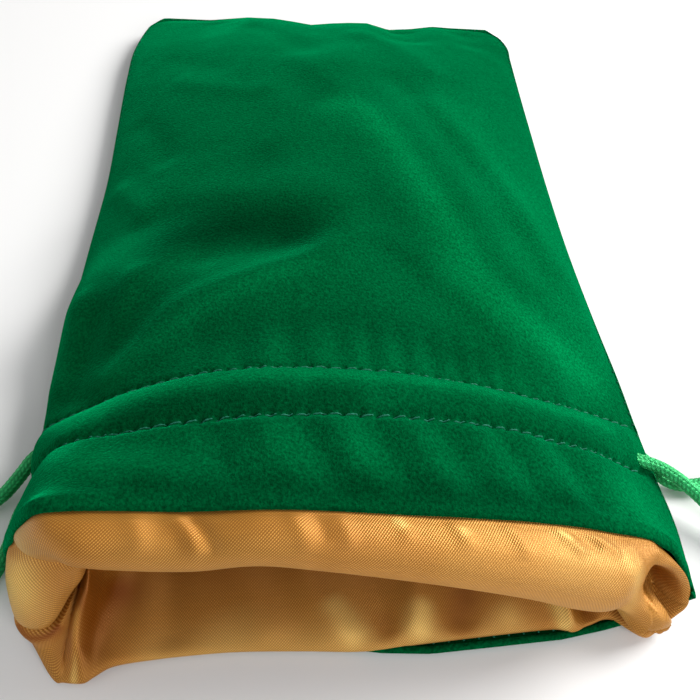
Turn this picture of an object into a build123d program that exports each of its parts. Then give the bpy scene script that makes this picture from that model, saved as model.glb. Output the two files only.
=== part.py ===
"""A lined drawstring dice bag lying on its back, mouth open towards -Y.

The bag is a velvet pouch with a satin lining. Each is a flat back panel with turned-up edges and an
arched front panel, sewn together along the sides and the closed end at the height SEAM_Z. The front
lining rolls out past the velvet at the mouth. Two rows of stitches make a channel round the bag near
the mouth. Two drawcords run all round in that channel, one out of each side, and end in a knot.
Millimetres. +Z is up, and the origin is under the middle of the bag on the surface it lies on.
"""

import os
from math import asin, cos, degrees, pi, radians, sin, sqrt, tan

from build123d import *

# Driving dimensions
HALF_WIDTH = 50.0  # from the middle to a side seam
CLOSED_END = 84.0  # y of the closed end
BACK_EDGE = -81.5  # y of the back velvet's edge at the mouth
BACK_LIP = -84.0  # y of the back lining's edge
FRONT_EDGE = -71.5  # y of the front velvet's edge
LINING_END = 81.0  # y of the lining's closed end
SEAM_Z = 5.0  # height of the seam between front and back panels
CORNER_R = 8.0  # the closed end's rounded corners
VELVET = 1.2  # cloth and pile
LINING = 0.8
LINING_OUT = VELVET + 0.2  # depth of the lining's outer face, with a little air under the velvet
LINING_IN = LINING_OUT + LINING
OUTER_CHAMFER = 2.2  # where a back panel turns up into its side
INNER_CHAMFER = 1.8

CHANNEL_Y = -52.0  # middle of the drawcord channel
CHANNEL_HALF = 4.5  # from there to each row of stitches
CHANNEL_RAMP = 2.0  # length over which the front lining leaves the velvet
CHANNEL_CROWN = VELVET + 3.0  # depth of the front channel's inner face at the crown
CHANNEL_SIDE = 7.0  # and its inset at the sides, where the cords turn from front to back
BACK_CHANNEL_TOP = 3.7  # height of the back channel's roof

CORD_D = 2.2
CORD_OFFSET = 2.0  # from the middle of the channel to each of its two cords
CORD_CROWN = VELVET + 1.5  # depth of the cords' middle line in the front channel
CORD_SIDE = 4.0
SLOT_WIDTH = 9.0  # opening in the side seam that a cord leaves by
SLOT_FLOOR = 1.3
SLOT_TOP = 8.5
SLOT_X = 45.5  # where a tail meets the cord in the channel

STITCH_PITCH = 2.4
STITCH_LENGTH = 1.8
STITCH_R = 0.25
SEAM_THREAD_R = 0.2
SEAM_THREAD_Z = SEAM_Z - 0.5

KNOT_LENGTH = 6.0
KNOT_R = 2.9
KNOT_END_R = KNOT_R - 0.35
LOOSE_END = 7.0  # the two cord ends past the knot

# The front panel along the bag, as (y, half width, height of the crown).
# The half width follows the rounded corners of the closed end.
STATIONS = [
    (-84.0, 50.0, 26.0),
    (-71.5, 50.0, 26.5),
    (-57.0, 50.0, 25.0),
    (-47.0, 50.0, 22.5),
    (-20.0, 50.0, 19.5),
    (20.0, 50.0, 16.0),
    (50.0, 50.0, 13.0),
    (68.0, 50.0, 10.5),
    (76.0, 50.0, 9.0),
    (80.0, 48.9, 8.0),
    (82.8, 46.0, 7.1),
    (84.0, 42.0, 6.6),
]

# The rolled lip of the front lining, as (y, depth of its outer face, depth of its inner face).
LIP = [
    (-78.0, 2.6, 5.2),
    (-77.2, 1.0, 6.6),
    (-75.2, 0.2, 7.2),
    (-73.0, 0.2, 5.2),
    (-72.0, 0.6, 3.4),
]

# Each tail from its slot to its knot, as points chosen by hand.
RIGHT_UPPER = [
    (45.5, -54.0, 6.0),
    (49.5, -55.0, 6.0),
    (53.8, -57.9, 5.0),
    (58.2, -62.4, 3.4),
    (62.6, -68.6, 1.8),
    (68.2, -74.2, 1.2),
    (75.2, -78.4, 1.2),
    (80.2, -84.6, 1.2),
    (80.6, -92.4, 1.6),
    (77.5, -99.5, 2.9),
]
RIGHT_LOWER = [
    (45.5, -50.0, 2.45),
    (48.9, -50.9, 2.45),
    (51.5, -53.8, 2.0),
    (53.2, -56.1, 1.5),
    (56.4, -56.9, 1.2),
    (60.8, -56.3, 1.2),
    (66.4, -57.5, 1.2),
    (73.6, -59.8, 1.2),
    (80.2, -65.0, 1.2),
    (84.6, -72.6, 1.2),
    (86.4, -81.6, 1.2),
    (84.6, -90.8, 1.6),
    (79.7, -100.5, 2.9),
]
LEFT_UPPER = [
    (-45.5, -50.0, 6.0),
    (-49.0, -50.4, 5.4),
    (-51.8, -53.6, 3.3),
    (-54.4, -57.0, 1.7),
    (-59.6, -59.6, 1.2),
    (-67.6, -61.6, 1.2),
    (-75.0, -66.8, 1.2),
    (-78.6, -74.6, 1.2),
    (-78.2, -83.4, 1.2),
    (-74.2, -91.0, 1.6),
    (-68.8, -97.4, 2.9),
]
LEFT_LOWER = [
    (-45.5, -54.0, 2.45),
    (-49.0, -55.4, 2.3),
    (-51.3, -59.5, 1.4),
    (-51.4, -65.2, 1.2),
    (-53.2, -71.2, 1.2),
    (-58.2, -75.4, 1.2),
    (-64.6, -77.6, 1.2),
    (-69.8, -82.0, 1.2),
    (-71.6, -88.6, 1.6),
    (-67.0, -95.9, 2.9),
]

# Each knot, as the place where its tails enter it and its heading in degrees from +Y.
RIGHT_KNOT = (78.4, -100.4, 156.0)
LEFT_KNOT = (-67.6, -97.0, -140.0)


def between(y):
    """Half width and crown height of the front panel at y."""
    for (y0, w0, h0), (y1, w1, h1) in zip(STATIONS, STATIONS[1:]):
        if y <= y1:
            break
    part = (y - y0) / (y1 - y0)
    return w0 + part * (w1 - w0), h0 + part * (h1 - h0)


class Arch:
    """The arc across the front panel at y, with its crown and its sides inside the outer face."""

    def __init__(self, y, crown_depth=0.0, side_inset=None):
        half, crown = between(y)
        self.y = y
        self.half = half - (crown_depth if side_inset is None else side_inset)
        self.crown = crown - crown_depth
        rise = self.crown - SEAM_Z
        self.radius = (self.half**2 + rise**2) / (2 * rise)
        self.centre_z = self.crown - self.radius

    def z(self, x):
        return self.centre_z + sqrt(self.radius**2 - x**2)

    def ends(self):
        """Both ends on the seam and the crown, in the section's own plane."""
        return (-self.half, SEAM_Z), (0, self.crown), (self.half, SEAM_Z)


def strip(outer, inner):
    """The section of one cloth layer between two arches at the same y."""
    left, crown, right = outer.ends()
    inner_left, inner_crown, inner_right = inner.ends()
    with BuildSketch(Plane.XZ.offset(-outer.y)) as section:
        with BuildLine():
            ThreePointArc(left, crown, right)
            Line(right, inner_right)
            ThreePointArc(inner_right, inner_crown, inner_left)
            Line(inner_left, left)
        make_face()
    return section.sketch


def segment(arch):
    """The whole section under an arch, down to the seam."""
    left, crown, right = arch.ends()
    with BuildSketch(Plane.XZ.offset(-arch.y)) as section:
        with BuildLine():
            ThreePointArc(left, crown, right)
            Line(right, left)
        make_face()
    return section.sketch


def basin(start, end, inset, floor, bevel):
    """The solid inside a back panel's face, from the mouth to the closed end, up to the seam."""
    half, corner = HALF_WIDTH - inset, CORNER_R - inset
    with BuildPart() as solid:
        with BuildSketch(Plane.XY.offset(floor)):
            with BuildLine():
                Polyline((-half, end - corner), (-half, start), (half, start), (half, end - corner))
                RadiusArc((half, end - corner), (half - corner, end), -corner)
                Line((half - corner, end), (corner - half, end))
                RadiusArc((corner - half, end), (-half, end - corner), -corner)
            make_face()
        extrude(amount=SEAM_Z - floor)
        around = solid.edges().group_by(Axis.Z)[0].sort_by(Axis.Y)[1:]
        chamfer(around, bevel)
    return solid.part


def block(low, high):
    """A box from its lowest corner to its highest."""
    with BuildPart() as solid:
        with Locations(low):
            size = [b - a for a, b in zip(low, high)]
            Box(*size, align=(Align.MIN, Align.MIN, Align.MIN))
    return solid.part


def slots():
    """Cutters for the openings in both side seams where the drawcords leave."""
    near, far = CHANNEL_Y - SLOT_WIDTH / 2, CHANNEL_Y + SLOT_WIDTH / 2
    inside, outside = SLOT_X - 1, HALF_WIDTH + 3
    left = block((-outside, near, SLOT_FLOOR), (-inside, far, SLOT_TOP))
    right = block((inside, near, SLOT_FLOOR), (outside, far, SLOT_TOP))
    return left, right


def write(name, part):
    part.label = name
    export_step(part, f"parts/{name}.step")


def make_velvet_back():
    with BuildPart() as velvet_back_panel:
        add(basin(BACK_EDGE, CLOSED_END, 0, 0, OUTER_CHAMFER))
        inside = basin(BACK_EDGE - 1, CLOSED_END - VELVET, VELVET, VELVET, INNER_CHAMFER)
        add(inside, mode=Mode.SUBTRACT)
        add(slots(), mode=Mode.SUBTRACT)
    write("velvet_back_panel", velvet_back_panel.part)


def make_velvet_front():
    stations = [y for y, _, _ in STATIONS if y >= FRONT_EDGE]
    with BuildPart() as velvet_front_panel:
        loft([strip(Arch(y), Arch(y, VELVET)) for y in stations[:-1]], ruled=True)
        loft([segment(Arch(y)) for y in stations[-2:]], ruled=True)
        add(slots(), mode=Mode.SUBTRACT)
    write("velvet_front_panel", velvet_front_panel.part)


def make_lining_back():
    near, far = CHANNEL_Y - CHANNEL_HALF - 1, CHANNEL_Y + CHANNEL_HALF + 1
    side = HALF_WIDTH - LINING_OUT
    end = HALF_WIDTH - CHANNEL_SIDE
    wall_foot = LINING_OUT + OUTER_CHAMFER
    with BuildPart() as lining_back_panel:
        add(basin(BACK_LIP, LINING_END, LINING_OUT, LINING_OUT, OUTER_CHAMFER))
        inside = basin(BACK_LIP - 1, LINING_END - LINING, LINING_IN, LINING_IN, INNER_CHAMFER)
        add(inside, mode=Mode.SUBTRACT)
        # Across the channel the lining steps up over the cords and in from the sides.
        add(block((-side - 1, near, 0), (side + 1, far, SEAM_Z + 1)), mode=Mode.SUBTRACT)
        for sign in (-1, 1):
            wall = sorted((sign * (end - LINING), sign * side))
            for y in (near, far - LINING):
                add(block((wall[0], y, wall_foot), (wall[1], y + LINING, SEAM_Z)))
            upright = sorted((sign * (end - LINING), sign * end))
            add(block((upright[0], near, BACK_CHANNEL_TOP), (upright[1], far, SEAM_Z)))
        roof = BACK_CHANNEL_TOP + LINING
        add(block((-end, near, BACK_CHANNEL_TOP), (end, far, roof)))
        for y in (near, far - LINING):
            add(block((-end, y, LINING_OUT), (end, y + LINING, roof)))
    write("lining_back_panel", lining_back_panel.part)


def make_lining_front():
    near, far = CHANNEL_Y - CHANNEL_HALF, CHANNEL_Y + CHANNEL_HALF
    outer = [Arch(y, depth) for y, depth, _ in LIP]
    inner = [Arch(y, depth) for y, _, depth in LIP]
    plain = [FRONT_EDGE - 0.1, near - CHANNEL_RAMP]
    outer += [Arch(y, LINING_OUT) for y in plain]
    inner += [Arch(y, LINING_IN) for y in plain]
    outer += [Arch(y, CHANNEL_CROWN, CHANNEL_SIDE) for y in (near, far)]
    inner += [Arch(y, CHANNEL_CROWN + LINING, CHANNEL_SIDE + LINING) for y in (near, far)]
    plain = [y for y, _, _ in STATIONS if far + CHANNEL_RAMP < y < LINING_END - LINING]
    plain = [far + CHANNEL_RAMP, *plain, LINING_END - LINING]
    outer += [Arch(y, LINING_OUT) for y in plain]
    inner += [Arch(y, LINING_IN) for y in plain]
    with BuildPart() as lining_front_panel:
        loft([strip(a, b) for a, b in zip(outer, inner)], ruled=True)
        ends = (LINING_END - LINING, LINING_END)
        loft([segment(Arch(y, LINING_OUT)) for y in ends], ruled=True)
    write("lining_front_panel", lining_front_panel.part)


def make_stitches(name, places):
    """One row of stitches, each a short bar of thread lying along the row."""
    with BuildPart() as row:
        with Locations(*places):
            Cylinder(STITCH_R, STITCH_LENGTH)
    write(name, row.part)


def places_on_arch(y):
    """Stitches across the front panel, half sunk in the velvet."""
    arch = Arch(y)
    span = 2 * asin((arch.half - 2) / arch.radius)
    count = int(span * arch.radius / STITCH_PITCH)
    places = []
    for i in range(count):
        angle = (i - (count - 1) / 2) * STITCH_PITCH / arch.radius
        x, z = arch.radius * sin(angle), arch.centre_z + arch.radius * cos(angle)
        places.append(Location((x, y, z), (0, 90 + degrees(angle), 0)))
    return places


def places_on_back(y):
    """The same row across the back panel, flush with its underside."""
    count = int(2 * (HALF_WIDTH - 2 * OUTER_CHAMFER) / STITCH_PITCH)
    xs = [(i - (count - 1) / 2) * STITCH_PITCH for i in range(count)]
    return [Location((x, y, STITCH_R), (0, 90, 0)) for x in xs]


def make_seam_thread(name, runs):
    """A seam's thread, one bar along each straight run between two points."""
    with BuildPart() as thread:
        for start, end in runs:
            line = Line(start, end)
            with BuildSketch(Plane(origin=start, z_dir=line % 0)):
                Circle(SEAM_THREAD_R)
            sweep(path=line)
    write(name, thread.part)


def make_seam_threads():
    channel_near = CHANNEL_Y - CHANNEL_HALF - 2
    channel_far = CHANNEL_Y + CHANNEL_HALF + 2
    z = SEAM_THREAD_Z
    layers = (
        ("velvet", HALF_WIDTH - VELVET / 2, BACK_EDGE + 1, CLOSED_END),
        ("lining", HALF_WIDTH - LINING_OUT - LINING / 2, BACK_LIP + 1, LINING_END),
    )
    for layer, x, start, end in layers:
        for side, sign in (("left", -1), ("right", 1)):
            near_run = ((sign * x, start, z), (sign * x, channel_near, z))
            far_run = ((sign * x, channel_far, z), (sign * x, end - CORNER_R, z))
            make_seam_thread(f"{layer}_side_seam_thread_{side}", [near_run, far_run])
    half = HALF_WIDTH - CORNER_R
    y = CLOSED_END - VELVET / 2
    make_seam_thread("velvet_end_seam_thread", [((-half, y, z), (half, y, z))])
    y = LINING_END - LINING / 2
    make_seam_thread("lining_end_seam_thread", [((-half, y, z), (half, y, z))])
    half = HALF_WIDTH - 2 * OUTER_CHAMFER
    y, z = BACK_EDGE + 1.5, (VELVET + LINING_OUT) / 2
    make_seam_thread("mouth_seam_thread_back", [((-half, y, z), (half, y, z))])


def make_front_mouth_thread():
    """The thread that joins the front velvet to the rolled lip, inside the roll."""
    arch = Arch(LIP[-2][0], 2.8)
    x = arch.half - 1
    with BuildPart() as mouth_seam_thread_front:
        with BuildLine(Plane.XZ.offset(-arch.y)) as path:
            ThreePointArc((-x, arch.z(x)), (0, arch.crown), (x, arch.z(x)))
        with BuildSketch(Plane(origin=path.line @ 0, z_dir=path.line % 0)):
            Circle(SEAM_THREAD_R)
        sweep()
    write("mouth_seam_thread_front", mouth_seam_thread_front.part)


def corner_radii(points):
    """The largest arc that each corner's two runs allow: 0.45 of the shorter run."""
    radii = []
    for before, here, after in zip(points, points[1:], points[2:]):
        arriving = Vector(here) - Vector(before)
        leaving = Vector(after) - Vector(here)
        half_turn = radians(arriving.get_angle(leaving)) / 2
        radii.append(0.45 * min(arriving.length, leaving.length) / tan(half_turn))
    return radii


def make_cord(name, points):
    """A tube along straight runs joined by tangent arcs."""
    radii = corner_radii(points)
    with BuildPart() as tube:
        with BuildLine() as path:
            FilletPolyline(*points, radius=radii)
        with BuildSketch(Plane(origin=path.line @ 0, z_dir=path.line % 0)):
            Circle(CORD_D / 2)
        sweep()
    length = sum(edge.length for edge in path.edges())
    expected = pi * (CORD_D / 2) ** 2 * length
    print(
        f"{name}: {length:.1f} mm, volume {tube.part.volume / expected:.4f} of expected,"
        f" radii {min(radii):.1f} to {max(radii):.1f} mm"
    )
    print("   ", " ".join(f"{radius:.1f}" for radius in radii))
    write(name, tube.part)


def channel_route(exit_side, front_side):
    """A cord's way in the channel: over the front, round the far side and back over the back.

    exit_side is the side that it enters and leaves by. front_side says which half of the channel
    it keeps to on the front, and on the back it keeps to the other half, bowed a little outwards.
    """
    y_front = CHANNEL_Y + front_side * CORD_OFFSET
    y_back = CHANNEL_Y - front_side * CORD_OFFSET
    arch = Arch(y_front, CORD_CROWN, CORD_SIDE)
    over = [(x, y_front, arch.z(x)) for x in (41.5, 33, 21, 7, -7, -21, -33, -41.5)]
    round_side = [(-45.0, y_front, 5.9), (-46.6, CHANNEL_Y, 4.2), (-45.2, y_back, 2.6)]
    bows = ((-40.5, 0.1), (-31, 0.3), (-14, 0.5), (6, 0.55), (24, 0.4), (37, 0.15), (SLOT_X, 0))
    under = [(x, y_back - front_side * bow, 2.45) for x, bow in bows]
    points = [(SLOT_X, y_front, 6.0), *over, *round_side, *under]
    return [(exit_side * x, y, z) for x, y, z in points]


def make_knot(name, x, y, heading):
    """The knot at the end of both tails, entered at (x, y), with the cord ends past it."""
    with BuildPart() as tied:
        with BuildSketch(Plane.YZ) as profile:
            with BuildLine():
                Line((0, 0), (0, KNOT_END_R))
                ThreePointArc((0, KNOT_END_R), (KNOT_LENGTH / 2, KNOT_R), (KNOT_LENGTH, KNOT_END_R))
                Polyline((KNOT_LENGTH, KNOT_END_R), (KNOT_LENGTH, 0), (0, 0))
            make_face()
        revolve(axis=Axis.Y)
        with BuildSketch(Plane.XZ.offset(-KNOT_LENGTH)):
            with GridLocations(CORD_D + 0.2, 0, 2, 1):
                Circle(CORD_D / 2)
        extrude(amount=-LOOSE_END)
    write(name, Location((x, y, KNOT_R), (0, 0, heading)) * tied.part)


os.makedirs("parts", exist_ok=True)
make_velvet_back()
make_velvet_front()
make_lining_back()
make_lining_front()
for row, sign in (("lower", -1), ("upper", 1)):
    stitch_y = CHANNEL_Y + sign * CHANNEL_HALF
    make_stitches(f"channel_stitches_front_{row}", places_on_arch(stitch_y))
    make_stitches(f"channel_stitches_back_{row}", places_on_back(stitch_y))
make_seam_threads()
make_front_mouth_thread()
make_cord("drawcord_right_channel_run", channel_route(1, -1))
make_cord("drawcord_left_channel_run", channel_route(-1, 1))
make_cord("drawcord_right_tail_upper", RIGHT_UPPER)
make_cord("drawcord_right_tail_lower", RIGHT_LOWER)
make_cord("drawcord_left_tail_upper", LEFT_UPPER)
make_cord("drawcord_left_tail_lower", LEFT_LOWER)
make_knot("drawcord_right_knot", *RIGHT_KNOT)
make_knot("drawcord_left_knot", *LEFT_KNOT)
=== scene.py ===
"""The looks of a velvet drawstring dice bag with a satin lining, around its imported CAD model."""

from math import cos, pi, radians, sin, sqrt

import bpy
import numpy as np
from mathutils import Matrix, Vector, noise


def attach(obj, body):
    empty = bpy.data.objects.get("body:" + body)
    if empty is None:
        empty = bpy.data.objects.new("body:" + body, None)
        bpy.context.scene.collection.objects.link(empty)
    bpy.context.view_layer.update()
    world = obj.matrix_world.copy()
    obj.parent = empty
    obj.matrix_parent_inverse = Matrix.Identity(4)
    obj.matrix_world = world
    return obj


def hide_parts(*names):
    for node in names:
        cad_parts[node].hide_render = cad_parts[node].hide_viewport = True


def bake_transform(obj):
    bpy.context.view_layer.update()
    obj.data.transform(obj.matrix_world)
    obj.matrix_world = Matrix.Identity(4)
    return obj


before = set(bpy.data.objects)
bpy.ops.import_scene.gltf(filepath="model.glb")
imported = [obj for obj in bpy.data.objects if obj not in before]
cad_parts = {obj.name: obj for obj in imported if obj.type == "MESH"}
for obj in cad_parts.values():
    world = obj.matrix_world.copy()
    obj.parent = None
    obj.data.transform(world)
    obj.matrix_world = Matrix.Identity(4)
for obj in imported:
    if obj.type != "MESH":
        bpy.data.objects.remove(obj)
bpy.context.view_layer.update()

# Shapes are worked out in millimetres in the row frame. Meshes are made in metres.
MM = 0.001
CURVE_STEP = 24  # points between two control points of a smooth curve

# ---------------------------------------------------------------- curves and grids


def catmull(count, step, closed=False):
    """A matrix that turns count control points into a smooth curve with step points per span."""
    spans = count if closed else count - 1
    samples = spans * step if closed else spans * step + 1
    matrix = np.zeros((samples, count))
    for row in range(samples):
        span, t = divmod(row, step)
        if span == spans:
            span, t = spans - 1, step
        t = t / step
        weights = (
            (-t + 2 * t**2 - t**3) / 2,
            (2 - 5 * t**2 + 3 * t**3) / 2,
            (t + 4 * t**2 - 3 * t**3) / 2,
            (t**3 - t**2) / 2,
        )
        for offset, weight in zip((-1, 0, 1, 2), weights):
            index = span + offset
            if closed:
                matrix[row, index % count] += weight
            elif index < 0:
                matrix[row, 0] += 2 * weight
                matrix[row, 1] -= weight
            elif index >= count:
                matrix[row, -1] += 2 * weight
                matrix[row, -2] -= weight
            else:
                matrix[row, index] += weight
    return matrix


def lengths_along(points):
    """Distance along a polyline to each of its points."""
    steps = np.linalg.norm(np.diff(points, axis=0), axis=1)
    return np.concatenate([[0], np.cumsum(steps)])


def interpolate(wanted, places, points):
    """The point, or points, at the wanted places along a polyline."""
    return np.stack([np.interp(wanted, places, column) for column in points.T], -1)


def resample(points, count):
    """count points evenly spaced along a polyline."""
    along = lengths_along(points)
    return interpolate(np.linspace(0, along[-1], count), along, points)


def smooth_curve(points, count):
    """count evenly spaced points on a smooth curve through a few control points."""
    points = np.asarray(points, float)
    return resample(catmull(len(points), CURVE_STEP) @ points, count)


def through(stations, values, wanted):
    """Smooth interpolation of values (one array per station) at the wanted station values."""
    stations = np.asarray(stations, float)
    values = np.asarray(values, float)
    slopes = np.gradient(values, stations, axis=0)
    index = np.clip(np.searchsorted(stations, wanted) - 1, 0, len(stations) - 2)
    width = stations[index + 1] - stations[index]
    t = (wanted - stations[index]) / width
    shape = (-1,) + (1,) * (values.ndim - 1)
    t, width = t.reshape(shape), width.reshape(shape)
    return (
        (2 * t**3 - 3 * t**2 + 1) * values[index]
        + (t**3 - 2 * t**2 + t) * width * slopes[index]
        + (3 * t**2 - 2 * t**3) * values[index + 1]
        + (t**3 - t**2) * width * slopes[index + 1]
    )


def ease(x, low, high):
    """0 below low, 1 above high, and a smooth step between."""
    t = np.clip((x - low) / (high - low), 0, 1)
    return t * t * (3 - 2 * t)


def bell(x, width):
    """1 at 0, falling smoothly on both sides."""
    return np.exp(-((x / width) ** 2))


def grid_normals(grid):
    """Unit normals of a grid of points, (rows, columns, 3)."""
    normals = np.cross(np.gradient(grid, axis=1), np.gradient(grid, axis=0))
    return normals / np.maximum(np.linalg.norm(normals, axis=2, keepdims=True), 1e-9)


def folds_at(folds, x, y):
    """Height of a list of folds at points x, y. A fold's widths may differ on its two sides."""
    height = np.zeros_like(x)
    for points, left_width, right_width, rise in folds:
        line = smooth_curve(points, 10 * len(points))
        nearest = np.full(x.shape, np.inf)
        across = np.zeros_like(x)
        reach = np.zeros_like(x)
        place = lengths_along(line)
        for (x0, y0), (x1, y1), start in zip(line[:-1], line[1:], place):
            dx, dy = x1 - x0, y1 - y0
            length = sqrt(dx * dx + dy * dy)
            along = ((x - x0) * dx + (y - y0) * dy) / length
            side = ((y - y0) * dx - (x - x0) * dy) / length
            over = along - np.clip(along, 0, length)
            distance = side**2 + over**2
            closer = distance < nearest
            nearest = np.where(closer, distance, nearest)
            across = np.where(closer, side, across)
            reach = np.where(closer, start + along, reach)
        width = np.where(across > 0, left_width, right_width)
        end = 0.8 * (left_width + right_width)
        ends = ease(reach, -0.4 * end, 0.6 * end)
        ends = ends * (1 - ease(reach, place[-1] - 0.6 * end, place[-1] + 0.4 * end))
        height += rise * bell(np.sqrt(nearest), width) * ends
    return height


def noise_at(points, scale, seed):
    """Smooth noise, about -1 to 1, at each point of a grid. scale is the size of its lumps."""
    flat = points.reshape(-1, points.shape[-1]) / scale
    values = [noise.noise(Vector((p[0] + seed, p[1] - seed, p[2]))) for p in flat]
    return np.array(values).reshape(points.shape[:-1])


def cloth_uv(grid):
    """Distance across and along the cloth, in millimetres, for every point of a grid."""
    across = np.linalg.norm(np.diff(grid, axis=1), axis=2)
    along = np.linalg.norm(np.diff(grid, axis=0), axis=2)
    u = np.concatenate([np.zeros((len(grid), 1)), np.cumsum(across, 1)], 1)
    v = np.concatenate([np.zeros((1, grid.shape[1])), np.cumsum(along, 0)], 0)
    return np.stack([u - u[:, -1:] / 2, v], -1)


# ---------------------------------------------------------------- meshes


def make_mesh(name, points, faces, uv):
    """A smooth mesh from points in millimetres."""
    mesh = bpy.data.meshes.new(name)
    mesh.from_pydata((points * MM).tolist(), [], faces)
    layer = mesh.uv_layers.new(name="cloth")
    corners = np.zeros(len(mesh.loops), int)
    mesh.loops.foreach_get("vertex_index", corners)
    layer.data.foreach_set("uv", uv[corners].ravel())
    mesh.polygons.foreach_set("use_smooth", np.ones(len(mesh.polygons), bool))
    mesh.update()
    obj = bpy.data.objects.new(name, mesh)
    bpy.context.scene.collection.objects.link(obj)
    return obj


def grid_faces(rows, columns, around=False):
    """The four corners of every face of a grid, or of a tube if it closes around."""
    index = np.arange(rows * columns).reshape(rows, columns)
    right = np.roll(index, -1, axis=1) if around else index[:, 1:]
    left = index if around else index[:, :-1]
    return np.stack([left[:-1], right[:-1], right[1:], left[1:]], -1).reshape(-1, 4).tolist()


def sheet_mesh(name, grid, thickness, uv=None):
    """A sheet over a grid whose shown side faces along its normals, with its own thickness."""
    uv = cloth_uv(grid) if uv is None else uv
    faces = grid_faces(*grid.shape[:2])
    obj = make_mesh(name, grid.reshape(-1, 3), faces, uv.reshape(-1, 2))
    solid = obj.modifiers.new("thickness", "SOLIDIFY")
    solid.thickness = thickness * MM
    solid.offset = -1
    bpy.context.view_layer.update()
    evaluated = obj.evaluated_get(bpy.context.evaluated_depsgraph_get())
    mesh = bpy.data.meshes.new_from_object(evaluated)
    obj.modifiers.clear()
    obj.data = mesh
    mesh.name = name
    return obj


def line_tangents(points):
    """The unit direction of a line at each of its points."""
    tangents = np.gradient(points, axis=0)
    return tangents / np.linalg.norm(tangents, axis=1, keepdims=True)


def tube_sides(points):
    """Two directions across a line at each of its points, without twist."""
    tangents = line_tangents(points)
    side = np.cross(tangents[0], (0.0, 0.0, 1.0))
    if np.linalg.norm(side) < 1e-3:
        side = np.cross(tangents[0], (0.0, 1.0, 0.0))
    sides = []
    for tangent in tangents:
        side = side - tangent * np.dot(side, tangent)
        side = side / np.linalg.norm(side)
        sides.append(side)
    return np.array(sides), np.cross(tangents, sides)


def tube(points, radii, around, relief=None):
    """Points, faces and UVs of a closed tube along a line. relief(angle, along) adds height."""
    radii = np.broadcast_to(np.asarray(radii, float), len(points))
    side, over = tube_sides(points)
    angle = np.arange(around) * 2 * pi / around
    along = lengths_along(points)
    radius = radii[:, None] * np.ones(around)
    if relief is not None:
        radius = radius + relief(angle[None, :], along[:, None])
    rings = (
        points[:, None]
        + (radius * np.cos(angle))[..., None] * side[:, None]
        + (radius * np.sin(angle))[..., None] * over[:, None]
    )
    count = len(points)
    faces = grid_faces(count, around, around=True)
    ends = [[around * (count - 1) + k for k in range(around)], list(range(around))[::-1]]
    uv = np.stack(np.broadcast_arrays(angle[None] * radii.mean(), along[:, None]), -1)
    return rings.reshape(-1, 3), faces + ends, uv.reshape(-1, 2)


def join_tubes(tubes):
    """Puts several tubes' points, faces and UVs into one list each."""
    points, faces, uvs, start = [], [], [], 0
    for tube_points, tube_faces, tube_uv in tubes:
        points.append(tube_points)
        uvs.append(tube_uv)
        faces += [[start + index for index in face] for face in tube_faces]
        start += len(tube_points)
    return np.concatenate(points), faces, np.concatenate(uvs)


def give_tones(obj, tones):
    """Painted light and shade: how much lighter or darker than its colour the cloth is made at
    each point of the mesh.
    """
    tones = np.resize(tones.ravel(), len(obj.data.vertices))  # the same for the under side
    layer = obj.data.attributes.new("tones", "FLOAT", "POINT")
    layer.data.foreach_set("value", tones.astype(np.float32))


# ---------------------------------------------------------------- velvet panels

MOUTH_Y = -71.5  # the panels' first row
ROW_NEAR_Y = -56.5  # the two rows of stitches that make the drawcords' channel
ROW_FAR_Y = -47.5
CHANNEL_Y = -52.0
CLOSED_END_Y = 84.0
SEAM_Z = 4.0  # the side seams' height
FLOOR_GAP = 0.12  # under the back panel
STITCH_PITCH = 2.4
STITCH_LENGTH = 2.05
VELVET_THICKNESS = 0.5
SATIN_THICKNESS = 0.25
ACROSS_FRONT = 401  # points across each panel
ACROSS_BACK = 241

# The front panel's free edge at the mouth, from the left side seam to the right one.
FRONT_EDGE = [
    (-47, -69.9, 4), (-47.4, -70.2, 8.5), (-46.6, -70.4, 13.2), (-44.5, -70.6, 18),
    (-42, -70.8, 22.4), (-39, -70.8, 26.2), (-35, -70.9, 27.5), (-29, -70.8, 27.2),
    (-22, -70.7, 26.3), (-13, -70.9, 27), (-5, -70.8, 26.2), (4, -70.8, 24.6), (13, -70.8, 23.1),
    (22, -70.6, 20.9), (30, -70.4, 18.2), (35.7, -70.4, 15.9), (41.9, -70.4, 13),
    (44.5, -70.9, 11.4), (46.9, -71.7, 9.7), (49.4, -73.3, 6.1), (50.2, -75.2, 4.2),
]

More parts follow.
